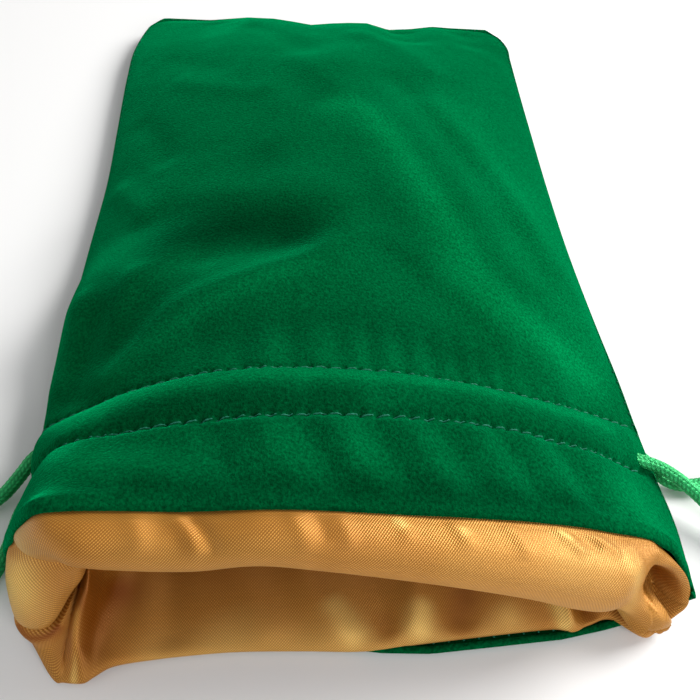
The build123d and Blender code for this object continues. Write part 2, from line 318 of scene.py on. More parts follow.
# Sections of the front panel across the bag, as (y, [(x, z), ...]) from left seam to right seam.
FRONT_SECTIONS = [
    (-64, [(-48.3, 3.8), (-47.2, 9), (-45.2, 14.8), (-41.8, 20.2), (-36.6, 23.8), (-28, 25.2),
        (-14, 26.6), (-2, 26), (10, 24.2), (22, 20.9), (32, 16.6), (40, 12.2), (46.6, 7.6),
        (50.8, 3.8)]),
    (-56.5, [(-48.6, 3.6), (-47, 8), (-44, 13.2), (-39.8, 17.8), (-32, 21.4), (-22, 23.9),
        (-11, 25.3), (0, 24.9), (11, 23.3), (22, 20.4), (31, 16.4), (39, 11.9), (46, 6.9),
        (50.2, 3.7)]),
    (-47.5, [(-48.7, 3.6), (-47.6, 6.6), (-43.6, 9.8), (-37, 13.9), (-30, 18.1), (-22, 21.6),
        (-13, 23.2), (-3, 23), (8, 21.5), (18.5, 18.4), (28, 14.7), (36, 11.3), (44, 7.1),
        (49.7, 3.6)]),
    (-39, [(-49, 3.6), (-48.2, 6.4), (-44, 9.2), (-37.5, 12.6), (-29.5, 17.2), (-21, 20.3),
        (-12, 21.6), (-2, 21.5), (8, 20.3), (18, 17.6), (27, 14.4), (36, 10.8), (44, 7),
        (49.4, 3.6)]),
    (-24, [(-49.1, 3.6), (-48.5, 7), (-45, 10.8), (-38, 14.6), (-29.5, 17.4), (-20, 19.2),
        (-10, 19.9), (0, 19.6), (10, 18.4), (20, 16.2), (29, 13.6), (37, 10.7), (44.5, 7.2),
        (48.4, 3.6)]),
]
# Further back the front panel is an even cushion shape, as (y, left x, right x, crown height).
CUSHION_STATIONS = [
    (-5, -48.6, 47.3, 18), (15, -48.2, 47.2, 16.2), (35, -48.9, 47.5, 14.4),
    (55, -49.6, 47.9, 12.2), (68, -49.5, 48.2, 9.8), (75, -48.5, 48.4, 8.3), (79, -47.6, 47.6, 7),
    (81.6, -46.6, 46.4, 5.9), (83.1, -45, 44.8, 5), (84, -43.5, 43.5, 4.05),
]

# Folds on the front panel: (points along its line, width on its left, width on its right, height).
FRONT_FOLDS = [
    ([(-38, -45.5), (-32, -38.6), (-26, -32.5), (-15, -27.6), (-4, -22.3), (-1, -17)],
     3.12, 6.5, 1.2),
    ([(-29, -20), (-16, -17.5), (-5, -15.5)], 7.8, 4.68, -1.44),  # hollow behind that ridge
    ([(-38, 2), (-20, -2), (-6, -3.5), (5, -9)], 7.8, 5.2, 0.72),
    ([(-7, 52), (4, 32), (12, 12), (18, -6), (26, -24), (36, -38)], 13, 5.2, 1.2),  # diagonal
    ([(14, 44), (24, 20), (32, -2), (38, -20)], 3.9, 4.55, -0.64),
    ([(-1, -16), (10, -18), (18, -26), (25, -33), (29, -40)], 5.2, 2.86, 0.72),
    ([(20, 34), (30, 16), (37, -2), (43, -22)], 3.9, 3.9, 0.48),
    ([(-40, -44), (-38.5, -36), (-37, -28), (-34, -20)], 3.12, 3.12, 0.64),  # left side
    ([(-43.5, -46), (-42.3, -36), (-41.2, -26)], 3.38, 3.12, -0.48),
    ([(-46.5, -42), (-45.6, -33), (-45, -22)], 2.86, 2.86, 0.56),
    ([(-36, 46), (-28, 40), (-18, 36), (-12, 38)], 3.12, 3.38, 0.32),
    ([(-40, 58), (-30, 50), (-22, 47)], 3.9, 3.38, -0.28),
    ([(-45, 10), (-40, 3), (-36, -5)], 2.86, 2.86, 0.48),
    ([(-44, 32), (-38, 24), (-34, 12)], 3.38, 3.38, -0.48),
    ([(-20, 74), (-10, 62), (-4, 52)], 3.9, 3.9, -0.48),
    ([(6, 70), (16, 60), (26, 44)], 4.16, 4.16, 0.56),
    ([(18, 84), (21, 76), (22, 66)], 5.2, 5.2, -1.04),  # dips in the closed end
    ([(-30, 84), (-29, 77), (-28, 70)], 5.2, 5.2, -0.48),
    ([(36, 84), (37, 76), (38, 68)], 4.55, 4.55, -0.48),
    ([(-43, -60), (-32, -64), (-20, -68.5)], 4.55, 3.25, 0.64),  # left part of the heading
    ([(-35, -59), (-25, -61.5), (-17, -64.5)], 3.38, 3.38, -0.64),
    ([(33, -58), (38, -63), (42, -69)], 5.2, 3.9, 0.72),
]
# Painted light and shade on the velvet, partly brushed pile: lighter on ridges and edges, darker
# in hollows and at the mouth: (points along a line, two widths, how much).
PILE_LIGHT_AND_SHADE = [
    ([(-36, -14), (-22, -12), (-12, -13), (-4, -18)], 7.5, 6, -0.6),
    ([(-42, -30), (-36, -23), (-28, -18)], 5, 4, -0.16),
    ([(-17, 8.5), (-10, 11)], 5.5, 5.5, -0.28),
    ([(-1, 31), (8, 21), (15, 2), (20, -13), (24, -26), (34, -34), (45, -42)], 4, 5, 0.85),
    ([(32, -10), (40, -23), (45, -38)], 9, 7, 0.36),
    ([(24, 40), (34, 12), (42, -10)], 10, 10, 0.34),
    ([(6, 4), (10, -10), (14, -22)], 4.5, 4.5, -0.16),
    ([(-38, -44), (-26, -36), (-15, -29.5), (-3, -24.5)], 2, 2, 0.34),
    ([(-41, -40), (-34, -31), (-24, -24.5)], 2.4, 2.4, -0.14),
    ([(-50, -20), (-49.5, -40)], 3.5, 3.5, 0.45),
    ([(-22, -40), (-10, -38), (2, -37), (14, -40), (24, -43)], 4.5, 4.5, -0.24),
    ([(-36, -67.5), (-10, -68.5), (20, -68), (36, -67)], 2.4, 2.4, -0.35),
    ([(-41, -62), (-27, -65.5)], 3.5, 3, 0.28),
    ([(-11, -60.5), (-10, -66)], 2, 2, 0.18),
    ([(-1, -60.5), (1, -66)], 2, 2, 0.2),
    ([(39, -60), (45, -68)], 6, 6, 0.6),
    ([(-34, -54.3), (-18, -54.3), (2, -54.3)], 2, 2, -0.32),
    ([(6, -54.6), (24, -54.6), (40, -55)], 1.8, 1.8, -0.15),
    ([(-41, -54), (-30, -51), (-12, -50), (10, -50), (30, -50), (43, -51)], 1.5, 1.5, 0.5),
    ([(-44, 81), (-20, 82.5), (0, 82), (20, 80.5), (44, 79.5)], 2.2, 2.2, 0.4),
]
# Short folds that the stitches pull into the cloth. Behind the channel: (x, width, height).
PUCKERS_BEHIND = [
    (-22.5, 1.6, -0.3), (-16, 1.5, -0.5), (-12.3, 1.4, 0.3), (-8.6, 1.4, -0.5), (-4.8, 1.3, 0.35),
    (-1.2, 1.3, -0.45), (3.4, 1.2, -0.55), (8.3, 1.3, -0.5), (13, 1.3, -0.55), (17.2, 1.2, -0.45),
    (21, 1.2, -0.45), (24.8, 1.3, -0.4), (29, 1.4, -0.35), (35, 1.6, 0.35),
]
# And in front of it, leaning to the right: (x, width, height).
PUCKERS_BEFORE = [
    (-20, 2, -0.6), (-13, 2.2, 0.75), (-7.6, 1.8, -0.6), (-3, 2, 0.7), (1.8, 1.7, -0.6),
    (6.6, 1.9, 0.6), (11.4, 1.6, -0.5), (15.8, 1.9, 0.5), (20.2, 1.6, -0.45), (25, 2.2, 0.55),
    (30, 1.9, -0.4), (-30, 2.4, 0.3),
]
# The closed end stands back a little from its furthest point: (x, how far).
CLOSED_END_DIPS = [
    (-50, 2.2), (-42, 1.5), (-31, 2), (-21, 0.2), (-14, 0.8), (-9, 2.2), (-4, 3.8), (1.5, 2.9),
    (6, 2.4), (11, 2.4), (17, 5.4), (23, 4.8), (29, 3.4), (34, 4), (39, 4.3), (46, 4.8), (50, 5.2),
]
# The back panel's free edge at the mouth: (x, y).
BACK_EDGE = [
    (-47, -72), (-43, -77), (-38, -79), (-20, -79.6), (-5, -80.2), (4, -81.4), (11, -81.7),
    (20, -81.1), (30, -80.4), (37, -79.2), (44, -77.6), (49.3, -76.3),
]
# How a panel's free edge turns in: (how far forward of the edge's line, how deep).
TURNED_EDGE = [
    (-1, 0.06), (-0.5, 0.2), (-0.12, 0.46), (0, 0.78), (-0.2, 1.05), (-0.9, 1.25),
]
EDGE_SETBACK = 1.7  # from the turned edge's line back to the panel's own first row


def cushion_section(left, right, crown):
    """An evenly rounded section from a left seam to a right one."""
    across = np.sin(np.linspace(-1, 1, 15) * pi / 2)
    x = (left + right) / 2 + (right - left) / 2 * across
    z = SEAM_Z + (crown - SEAM_Z) * (1 - np.abs(across) ** 2.1) ** 0.8
    return np.stack([x, z], 1)


def closed_end_dip(x, y):
    """How far back the closed end's dips move a point."""
    places, dips = np.array(CLOSED_END_DIPS).T
    return np.interp(x, places, dips) * ease(y, 52, CLOSED_END_Y)


def rows_along():
    """Values of y for the panels' rows: close together at stitches, mouth and closed end."""
    parts = [np.arange(MOUTH_Y, -60, 0.6), np.arange(-60, -44, 0.3), np.arange(-44, 70, 0.9)]
    parts += [np.arange(70, 81, 0.6), np.arange(81, 83.6, 0.3)]
    return np.concatenate([*parts, np.linspace(83.6, CLOSED_END_Y, 4)])


def across_channel(y):
    """0 at the channel's near row of stitches and before it, and 1 at the far one and behind."""
    return np.clip((y - ROW_NEAR_Y) / (ROW_FAR_Y - ROW_NEAR_Y), 0, 1)


def row_at(along, grid, y):
    """The panel's line of points at one y."""
    index = min(np.searchsorted(along, y) - 1, len(along) - 2)
    share = (y - along[index]) / (along[index + 1] - along[index])
    return grid[index] * (1 - share) + grid[index + 1] * share


def needle_holes(along, grid, rows, depth):
    """Depth of the dimples where the thread of each row of stitches goes through the cloth."""
    height = np.zeros(grid.shape[:2])
    for y in rows:
        line = row_at(along, grid, y)
        place = lengths_along(line)
        place = (place - place[-1] / 2) / STITCH_PITCH
        to_hole = (place - np.round(place)) * STITCH_PITCH
        near = bell(along - y, 0.45)[:, None] * bell(to_hole, 0.42)[None]
        height -= depth * near
    return height


def turned_edge(grid, outward):
    """Adds the rows that turn a panel's free edge in, before its first row."""
    rows = []
    for forward, depth in TURNED_EDGE[::-1]:
        moved = grid[0] - outward[0] * depth
        moved[:, 1] = grid[0][:, 1] - EDGE_SETBACK - forward
        rows.append(moved)
    return np.concatenate([rows, grid])


def front_panel_grid():
    """The front velvet's outer face as a grid of rows along y and points across."""
    edge = smooth_curve(FRONT_EDGE, ACROSS_FRONT)
    edge[:, 1] += EDGE_SETBACK
    stations, sections = [MOUTH_Y], [edge]
    cushion = [(y, cushion_section(*rest)) for y, *rest in CUSHION_STATIONS]
    for y, points in FRONT_SECTIONS + cushion:
        curve = smooth_curve(points, ACROSS_FRONT)
        stations.append(y)
        sections.append(np.stack([curve[:, 0], np.full(ACROSS_FRONT, y), curve[:, 1]], 1))
    along = rows_along()
    grid = through(stations, sections, along)
    hold = ease(along, MOUTH_Y, -64)[:, None]  # 1 where the whole row is at one y
    grid[..., 1] = grid[..., 1] * (1 - hold) + along[:, None] * hold
    x, y = grid[..., 0], grid[..., 1]
    height = folds_at(FRONT_FOLDS, x, y)
    behind = ease(y, -48.5, -46) * (1 - ease(y, -43, -34))
    for middle, width, rise in PUCKERS_BEHIND:
        height += 0.9 * rise * behind * bell(x - middle, width * (1.15 + (y + 47) * 0.04))
    before = ease(-y, 56, 59) * (1 - ease(-y, 66, 71))
    for middle, width, rise in PUCKERS_BEFORE:
        height += 0.85 * rise * before * bell(x - middle + (y + 57) * 0.45, 1.15 * width)
    within = ease(y, -57, -54) * (1 - ease(y, -50, -47))
    for middle, width, rise in PUCKERS_BEFORE[::2]:
        height += 0.35 * rise * within * bell(x - middle - 2.0, width)
    height += 1.35 * np.sin(pi * across_channel(y)) ** 0.85
    for row, depth in ((ROW_NEAR_Y, 0.5), (ROW_FAR_Y, 0.2)):
        height -= depth * bell(y - row, 0.8)
    height += 0.26 * noise_at(grid, 15.0, 3.1) + 0.08 * noise_at(grid, 6.0, 7.7)
    height += needle_holes(along, grid, (ROW_NEAR_Y, ROW_FAR_Y), 0.5)
    # Nothing moves the side seams and the closed end, and little moves the mouth.
    columns = np.arange(ACROSS_FRONT)
    rim = np.minimum(1, np.minimum(columns, columns[::-1]) / 20)
    fade = 0.25 + 0.75 * ease(along, MOUTH_Y, -67) * (1 - ease(along, 79, 83))
    fade = fade * (1 - ease(along, 82, 83.6))
    grid = grid + grid_normals(grid) * (height * rim * fade[:, None])[..., None]
    grid[..., 1] -= closed_end_dip(grid[..., 0], along[:, None])
    return along, grid


def back_panel_grid(along, front):
    """The back velvet's outer face. Its side and end edges are the front panel's."""
    left, right = front[:, 0], front[:, -1]
    half = np.array([(0, 1), (0.012, 0.62), (0.035, 0.22), (0.08, 0.04), (0.2, 0), (0.5, 0)])
    profile = np.concatenate([half, half[:-1][::-1] * (-1, 1) + (1, 0)])
    shape = smooth_curve(profile, ACROSS_BACK)
    share = shape[None, :, :1]
    grid = left[:, None] * (1 - share) + right[:, None] * share
    grid[..., 2] = FLOOR_GAP + shape[None, :, 1] * (grid[..., 2] - FLOOR_GAP)
    # Towards the mouth the back panel reaches past the front one.
    places, edge = np.array(BACK_EDGE).T
    reach = (1 - ease(along, MOUTH_Y, -48))[:, None]
    target = np.interp(grid[0, :, 0], places, edge) + EDGE_SETBACK
    grid[..., 1] += (target - grid[0, :, 1])[None] * reach
    close = ease(along, 79.5, CLOSED_END_Y)[:, None] ** 2
    grid[..., 2] = grid[..., 2] * (1 - close) + SEAM_Z * close
    middle = along[:, None] - closed_end_dip(grid[..., 0], along[:, None])
    far = ease(along, 30, 60)[:, None]
    grid[..., 1] = grid[..., 1] * (1 - far) + middle * far
    inside = bell((share[..., 0] - 0.5) / 0.5, 0.75) * (1 - close)
    puff = 0.35 * np.sin(pi * across_channel(along))[:, None] ** 0.7
    grooves = sum(0.55 * bell(along - row, 0.75) for row in (ROW_NEAR_Y, ROW_FAR_Y))[:, None]
    rise = 0.3 + 0.3 * noise_at(grid, 16.0, 21.3) + grooves - puff
    grid[..., 2] += np.maximum(rise * inside, -0.1)
    return grid


along, front = front_panel_grid()
back = back_panel_grid(along, front)
front_sheet = turned_edge(front, grid_normals(front))
back_sheet = turned_edge(back, -grid_normals(back))[:, ::-1]
velvet_front = sheet_mesh("velvet_front", front_sheet, VELVET_THICKNESS)
velvet_back = sheet_mesh("velvet_back", back_sheet, VELVET_THICKNESS)
# The front velvet's painted light and shade, partly brushed pile.
give_tones(velvet_front, folds_at(PILE_LIGHT_AND_SHADE, front_sheet[..., 0], front_sheet[..., 1]))

# ---------------------------------------------------------------- satin lining

LIP_STEP = 8  # rows of points between two control points of a lip profile
STATION_STEP = 14  # columns between two lip profiles
LIP_END_Y = -60.0  # where the lips' profiles join the lining's body
LINING_END_Y = 76  # where the lining starts to close

# The lining's lip at places round the mouth. Each profile starts under the velvet's edge, goes
# out and over the lip, and then into the bag. A place is 0 at the left seam, 1 at the middle of
# the front, 2 at the right seam and 3 at the middle of the back.
LEFT_LIPS = [
    (0.02, [(-45.2, -68, 7.4), (-46.2, -71.6, 7.6), (-46.4, -72.8, 7.7), (-45.9, -74.9, 7.7),
        (-44.9, -77.1, 7.6), (-43.2, -78.2, 7.3), (-41.1, -78.2, 7.2), (-39.6, -77.1, 7.6),
        (-39, -75.1, 7.8), (-39.6, -70.5, 7.7), (-42, -65, 7.4)]),
    (0.05, [(-45, -68, 10.8), (-46, -71.4, 10.9), (-46.1, -72.4, 11), (-45.6, -74.2, 11.1),
        (-44.5, -76.1, 11.1), (-42.6, -77.2, 11), (-40.2, -77.1, 10.8), (-38.3, -76.1, 10.5),
        (-37.3, -74.4, 10.4), (-37.6, -70.5, 10.3), (-40, -64.5, 10.3)]),
    (0.09, [(-43.9, -67.5, 13.6), (-45.1, -70.8, 13.8), (-45.3, -72, 13.9), (-44.7, -73.8, 14.2),
        (-43.4, -75, 14.4), (-41.5, -75.6, 14.4), (-39.3, -75.6, 14.1), (-37.3, -75.1, 13.8),
        (-35.3, -73.9, 13.5), (-35.6, -69.5, 13.2), (-38, -64, 13)]),
    (0.125, [(-43.4, -67, 15.6), (-44.6, -70, 15.6), (-44.8, -71.2, 15.5), (-44, -72.3, 16),
        (-42.7, -73.1, 16.6), (-40.9, -73.6, 17), (-39, -73.9, 16.8), (-37, -74.1, 16.3),
        (-34.6, -73.6, 16), (-34.8, -69.2, 15.4), (-37.4, -64, 15)]),
    (0.15, [(-42.6, -66.5, 17.6), (-43.7, -69.2, 17.2), (-43.8, -70.2, 16.9), (-43, -70.9, 17.3),
        (-41.6, -71.4, 18), (-39.8, -72, 18.8), (-38.2, -72.4, 18.6), (-36.3, -72.9, 18),
        (-33.6, -73.6, 17.4), (-33.6, -69, 16.6), (-36.5, -64, 15.8)]),
    (0.175, [(-40.4, -67.5, 21.8), (-41.6, -70.2, 21.6), (-41.8, -71.4, 21.5),
        (-41.5, -72.4, 21.2), (-40.8, -73.2, 20.9), (-39.7, -73.8, 20.7), (-38.3, -74.1, 20.3),
        (-36.6, -74.2, 19.6), (-33.6, -73.6, 18.6), (-33.8, -68.8, 17.8), (-36.2, -64, 17)]),
    (0.2, [(-37.8, -68.2, 25), (-38, -70.9, 25.9), (-37.8, -72.2, 26.2), (-37.4, -73.8, 25.8),
        (-36.9, -74.9, 24.6), (-36.4, -75.1, 23.2), (-36, -74.7, 21.8), (-35.3, -74, 20.6),
        (-33.8, -72.6, 19.6), (-34, -68.5, 18.6), (-35.8, -64, 18)]),
]
# On the front the lip is a soft roll: (forward of the velvet's edge, depth below its surface).
ROLL = [
    (-3, 1.6), (0.1, 1), (1.7, 0.35), (3.9, 0.35), (5.5, 1.4), (6.3, 3.2), (6.1, 5.2), (4.9, 6.6),
    (2.2, 7.4), (-1.8, 7.3), (-5.3, 6.6),
]
# Its size grows to the right: (place, x, size).
ROLL_STATIONS = [
    (0.28, -33.5, 0.86), (0.4, -28, 0.93), (0.57, -20.5, 0.95), (0.75, -12, 0.9), (0.94, -3, 0.98),
    (1.15, 7, 1.08), (1.35, 16.5, 1.2), (1.55, 25.5, 1.32), (1.7, 32.5, 1.42), (1.8, 37.4, 1.38),
]
# Puckers across the roll's top, drawn in by the seam at the velvet's edge.
ROLL_FOLDS = [
    ([(-27.5, -71), (-26.2, -73), (-25.2, -76)], 1.2, 1.2, 0.25),
    ([(-22.5, -71), (-20.5, -73.2), (-18.8, -76.5)], 0.8, 1, 0.38),
    ([(-20.4, -71.2), (-18.4, -73.4), (-16.8, -76)], 0.8, 0.8, -0.35),
    ([(-8, -71), (-7, -73.5), (-6, -76)], 1, 1.2, 0.3),
    ([(-5.5, -71), (-4.6, -73), (-4, -75)], 0.7, 0.8, -0.25),
    ([(-2.5, -71), (-1.6, -73), (-1, -75.5)], 0.8, 0.9, 0.28),
    ([(5, -71), (5.8, -72.8), (6.4, -74.6)], 0.8, 0.9, 0.22),
    ([(12, -71), (13, -73), (14, -75)], 0.9, 1, 0.3),
    ([(19, -71), (20.5, -73), (21.5, -75.5)], 1, 1, 0.35),
    ([(26, -70.5), (27.6, -72.5), (29.8, -74.5)], 0.8, 0.8, 0.45),
    ([(29, -70.8), (30.4, -72.2), (32.4, -73.6)], 0.7, 0.7, -0.4),
    ([(31.6, -70.6), (33.2, -72.2), (35.4, -73.8)], 0.8, 0.8, 0.4),
    ([(37, -71.4), (38, -73.6), (38.6, -76)], 1.2, 1.2, 0.35),
]
RIGHT_LIPS = [
    (1.87, [(40.8, -68.2, 11.6), (41.8, -70.8, 12.3), (42, -72.2, 12.5), (41.6, -73.4, 11.9),
        (40.7, -74.6, 10.9), (40.1, -75.9, 9.7), (40.1, -77.4, 8.2), (40.6, -78.9, 6.5),
        (40.6, -79.7, 4.6), (39.2, -79, 3.2), (37.6, -70, 4)]),
    (1.9, [(42.4, -68.4, 10.2), (43.6, -71.2, 10.9), (43.9, -72.7, 11.1), (43.2, -73.5, 10.7),
        (41.9, -72.6, 9.4), (40.9, -72.2, 8), (40.8, -74.6, 7.2), (41.7, -78, 6.6),
        (42.2, -79.7, 4.8), (40.9, -79.3, 3), (38.6, -71, 3.2)]),
    (1.93, [(44.5, -69, 8.2), (45.8, -71.9, 9.1), (46.2, -73.3, 9.3), (45.2, -73.6, 8.8),
        (43.6, -71.4, 7.2), (42.3, -68.6, 5.6), (41.8, -71.5, 5), (43, -77.8, 5.6),
        (44, -79.6, 4.2), (42.6, -79.4, 2.6), (40.2, -72, 2.8)]),
    (1.96, [(46.8, -71.2, 5.8), (48.1, -73.4, 6.6), (48.3, -74.5, 6.6), (47.2, -74.5, 6),
        (45.6, -72, 4.8), (44.2, -69, 3.9), (43.6, -72.5, 3.7), (44.6, -78, 4.6),
        (45.4, -79.4, 3.4), (44, -79, 2.2), (41.6, -72.6, 2.4)]),
    (1.99, [(48, -73, 3.6), (49.1, -75.2, 4), (49, -76.2, 4), (47.9, -76, 3.6), (46.3, -74.3, 3),
        (45, -71.8, 2.7), (44.6, -74.8, 2.7), (45.6, -78, 3.2), (46, -79, 2.2), (44.6, -78.6, 1.7),
        (42.4, -72.4, 2.2)]),
    (2.03, [(47.3, -73, 2.2), (48.2, -76.3, 2.3), (47.9, -77.5, 2.6), (47, -77.7, 2.6),
        (45.8, -77.2, 2.2), (44.8, -76.4, 1.9), (44.6, -77.4, 1.8), (44.9, -78.9, 2.1),
        (44.6, -79.7, 1.4), (43.3, -79.2, 1.6), (41.5, -72, 2)]),
    (2.1, [(43, -74, 1.5), (42.9, -77, 1.2), (42.8, -79, 1), (42.6, -80.1, 1), (42.4, -80.6, 1.4),
        (42.2, -80.6, 2), (42, -80.2, 2.5), (41.6, -79, 2.8), (41, -77, 2.9), (40.4, -73.5, 2.8),
        (40, -69, 2.7)]),
]
# On the back the lip is a low turned edge: (back from its furthest point, height).
HEM = [
    (5.2, 1.3), (2.2, 1.15), (1.1, 1), (0.5, 1), (0.05, 1.15), (0, 1.5), (0.4, 1.85), (1.6, 2.15),
    (4, 2.4), (8.2, 2.6), (13.2, 2.7),
]
# Its furthest points, from right to left: (place, x, y).
HEM_STATIONS = [
    (2.21, 37.8, -77.9), (2.29, 34.4, -78.6), (2.34, 31.8, -79.5), (2.4, 29, -79),
    (2.56, 21, -79.5), (2.77, 11, -80.3), (2.96, 2, -81.1), (3.15, -7, -80.8), (3.33, -16, -80.6),
    (3.48, -23, -80.9), (3.58, -28, -81.3),
]
BACK_LEFT_LIPS = [
    (3.69, [(-32.6, -77, 1.5), (-32.6, -80, 1.2), (-32.6, -81, 1.05), (-32.6, -81.6, 1.1),
        (-32.6, -82, 1.5), (-32.6, -81.9, 2.1), (-32.6, -81.3, 2.5), (-32.6, -79.6, 2.5),
        (-32.6, -76.8, 2.5), (-32.5, -73, 2.6), (-32, -67, 2.8)]),
    (3.75, [(-35.6, -77.5, 1.3), (-35.5, -81, 1), (-35.4, -82.4, 0.9), (-35.2, -83.1, 1),
        (-35.1, -83.1, 1.5), (-35.1, -82.5, 2), (-35.2, -81.2, 2.3), (-35.4, -79.2, 2.7),
        (-35.3, -76.5, 3.6), (-34.9, -72.8, 5), (-34.6, -67.5, 5)]),
    (3.79, [(-37, -77.5, 1.3), (-36.9, -81, 1), (-36.8, -82.8, 0.8), (-36.7, -83.8, 0.8),
        (-36.6, -83.8, 1.4), (-36.7, -83, 2.2), (-36.9, -81.3, 3.5), (-37.3, -79.5, 5.2),
        (-36.6, -77, 7.6), (-35.1, -73.9, 11), (-35.4, -68.5, 11.5)]),
    (3.83, [(-39.6, -77, 1.3), (-39.6, -80.5, 1), (-39.5, -82.4, 0.8), (-39.3, -83.4, 0.7),
        (-39.1, -83.7, 1), (-38.9, -83.2, 1.6), (-39, -82, 2.2), (-39.2, -80, 3.6),
        (-38, -76.6, 6.6), (-36.6, -73.4, 9.6), (-36.6, -66, 10.4)]),
    (3.875, [(-42.4, -76.5, 1.5), (-42.4, -79, 1.2), (-42, -81, 1), (-41.4, -82.4, 0.8),
        (-40.7, -83.2, 0.8), (-40, -83, 1.4), (-39.6, -81.6, 2.6), (-38.7, -79.4, 4.3),
        (-37.6, -76.6, 6.2), (-36.9, -73, 8), (-37, -66, 9)]),
    (3.905, [(-44.4, -73.6, 2), (-45, -76, 2.2), (-45, -77, 2.5), (-44.6, -77.9, 2.8),
        (-43.6, -79.2, 2.7), (-42.2, -80.1, 3), (-40.6, -79.8, 3.9), (-39.2, -78.4, 5.1),
        (-38, -75.9, 6.6), (-37.2, -72.6, 7.9), (-38, -66, 8.7)]),
    (3.93, [(-45.3, -71, 4.8), (-46.2, -73.6, 5.2), (-46.2, -75.4, 5.4), (-45.7, -76.9, 5.4),
        (-44.4, -78.2, 5.2), (-42.4, -78.8, 5.3), (-40.5, -78.4, 5.8), (-39.2, -77.1, 6.6),
        (-38.3, -75, 7.4), (-37.7, -72, 8.4), (-38.6, -66, 9)]),
    (3.96, [(-45.4, -69, 5.8), (-45.7, -70.8, 6), (-45.5, -71.6, 6), (-44.6, -72.8, 5.9),
        (-43.6, -73.6, 5.8), (-42.4, -74, 5.8), (-41, -73.9, 5.9), (-40, -73.2, 6.3),
        (-39.3, -72.2, 6.8), (-39.4, -69.5, 7), (-41, -65, 7)]),
    (3.985, [(-45.3, -68.5, 6.5), (-46.2, -71.6, 6.6), (-46.2, -72.7, 6.6), (-45.6, -74.8, 6.6),
        (-44.7, -76.4, 6.4), (-43.1, -77.3, 6.2), (-41.2, -77.3, 6.2), (-39.9, -76.3, 6.6),
        (-39.3, -74.6, 7), (-39.5, -70.3, 7), (-41.5, -65, 7)]),
]
# Soft folds on the lining's floor inside the mouth, as on the front panel.
FLOOR_FOLDS = [
    ([(31.8, -80.5), (29.8, -71), (27, -60)], 1.5, 1.3, 1.5),
    ([(35, -79), (33.5, -71), (31.5, -62)], 1.8, 1.6, -0.9),
    ([(-0.6, -81), (-3.4, -76.3), (-5.6, -73), (-9, -64)], 3, 2.2, 0.9),
    ([(8.5, -81), (9.3, -77), (9.9, -73), (10.5, -62)], 2.6, 2.4, 0.9),
    ([(5.4, -80), (4, -75), (2.4, -68)], 2, 1.8, -0.45),
    ([(16, -79.5), (15.8, -75), (16, -64)], 2.4, 2.4, -0.6),
    ([(-10.8, -81), (-12.6, -77), (-15, -72), (-18, -64)], 3.2, 3, 0.55),
    ([(-25, -81), (-26, -74), (-27, -64)], 3, 3, -0.6),
    ([(22.5, -79), (23, -73), (23, -64)], 2.2, 2.2, 0.4),
]
# Painted light and shade on the lining: glints and darker shade on the floor of the mouth, on the
# roll and on the left flap. The same form as the folds, with the tone in place of the height.
FLOOR_GLINTS_AND_SHADE = [
    ([(-34, -72), (-28, -68), (-14, -67.5), (0, -68), (14, -68.5), (30, -69)], 4, 4, -0.45),
    ([(-38.5, -82), (-35.5, -76), (-32.5, -70)], 2.4, 3, -0.75),
    ([(-45.6, -77), (-43.6, -78.8), (-41, -78.8), (-39.3, -77.6)], 0.5, 0.5, -0.8),
    ([(-37.8, -84), (-37.4, -80), (-37, -76)], 0.5, 0.6, 0.7),
    ([(-30, -82), (-20, -81), (-6, -80.5), (10, -80), (26, -79)], 3.4, 3.4, 0.3),
    ([(-16, -80), (-18, -76)], 4.5, 4.5, 0.3),
    ([(1, -80.5), (-1.4, -76.5), (-3.4, -74)], 1.7, 1.7, 0.65),
    ([(9.3, -80), (9.8, -77), (10.2, -74.5)], 1.7, 1.7, 0.8),
    ([(5.4, -80), (4.4, -76)], 1.6, 1.6, -0.4),
    ([(14.5, -79.5), (16.5, -75), (17, -72)], 2.4, 2.4, -0.55),
    ([(22.5, -78.5), (22.5, -75)], 1.8, 1.8, 0.25),
    ([(30.9, -79.5), (29.5, -75), (28.6, -72)], 1, 1, 0.9),
    ([(34.5, -78), (34, -74)], 1.6, 1.6, -0.5),
]
ROLL_GLINTS_AND_SHADE = [
    ([(-30, -76), (-10, -76.5), (10, -77), (30, -77)], 3, 3, 0.06),
    ([(-21.5, -72), (-19, -75.5)], 1.4, 1.4, -0.12),
    ([(4.6, -71.2), (5.8, -72.8)], 0.7, 0.7, 0.8),
    ([(13, -72), (13.6, -73.5)], 0.7, 0.7, 0.45),
    ([(24, -73), (30, -75), (36, -76)], 4, 4, 0.22),
    ([(26.6, -71.2), (28.4, -72.6)], 0.5, 0.5, 0.7),
    ([(36, -73), (37.6, -76), (38, -79)], 1.4, 1.4, 0.35),
    ([(-6, -74), (2, -75), (10, -76)], 3.5, 3, -0.14),
]
FLAP_GLINT = [
    ([(-43.5, -72), (-42.6, -78)], 3, 3, 0.75),
]


def channel_puff(y):
    """0 at the channel's stitch rows and outside them, and 1 over the cords between."""
    return np.sin(pi * across_channel(y)) ** 0.6


def lining_row(y, places):
    """The lining's points at one y, at the given places round the bag."""
    outer = row_at(along, front, y)
    xs, zs = outer[:, 0], outer[:, 2]
    middle, half = (xs[0] + xs[-1]) / 2, (xs[-1] - xs[0]) / 2
    seam = zs[0]
    puff = channel_puff(y)
    inset = 2.6 + 2.0 * puff + 0.8 * ease(-y, 56, 60)
    over = places <= 2
    share = np.where(over, places - 1, 3 - places)
    height = np.interp(middle + half * share, xs, zs)
    shrink = max(0.1, 1 - inset / (zs.max() - seam))
    top = seam + (height - seam) * shrink
    floor = 1.75 + 2.6 * puff
    bottom = floor + (seam - floor) * ease(np.abs(share), 0.93, 1.0)
    close = sqrt(max(0, 1 - (max(0, y - LINING_END_Y) / 5) ** 2))
    z = SEAM_Z + (np.where(over, top, bottom) - SEAM_Z) * close
    x = middle + (half - 2.2 - 1.6 * puff - 2.5 * (1 - close)) * share
    return np.stack([x, y - closed_end_dip(x, y), z], 1)


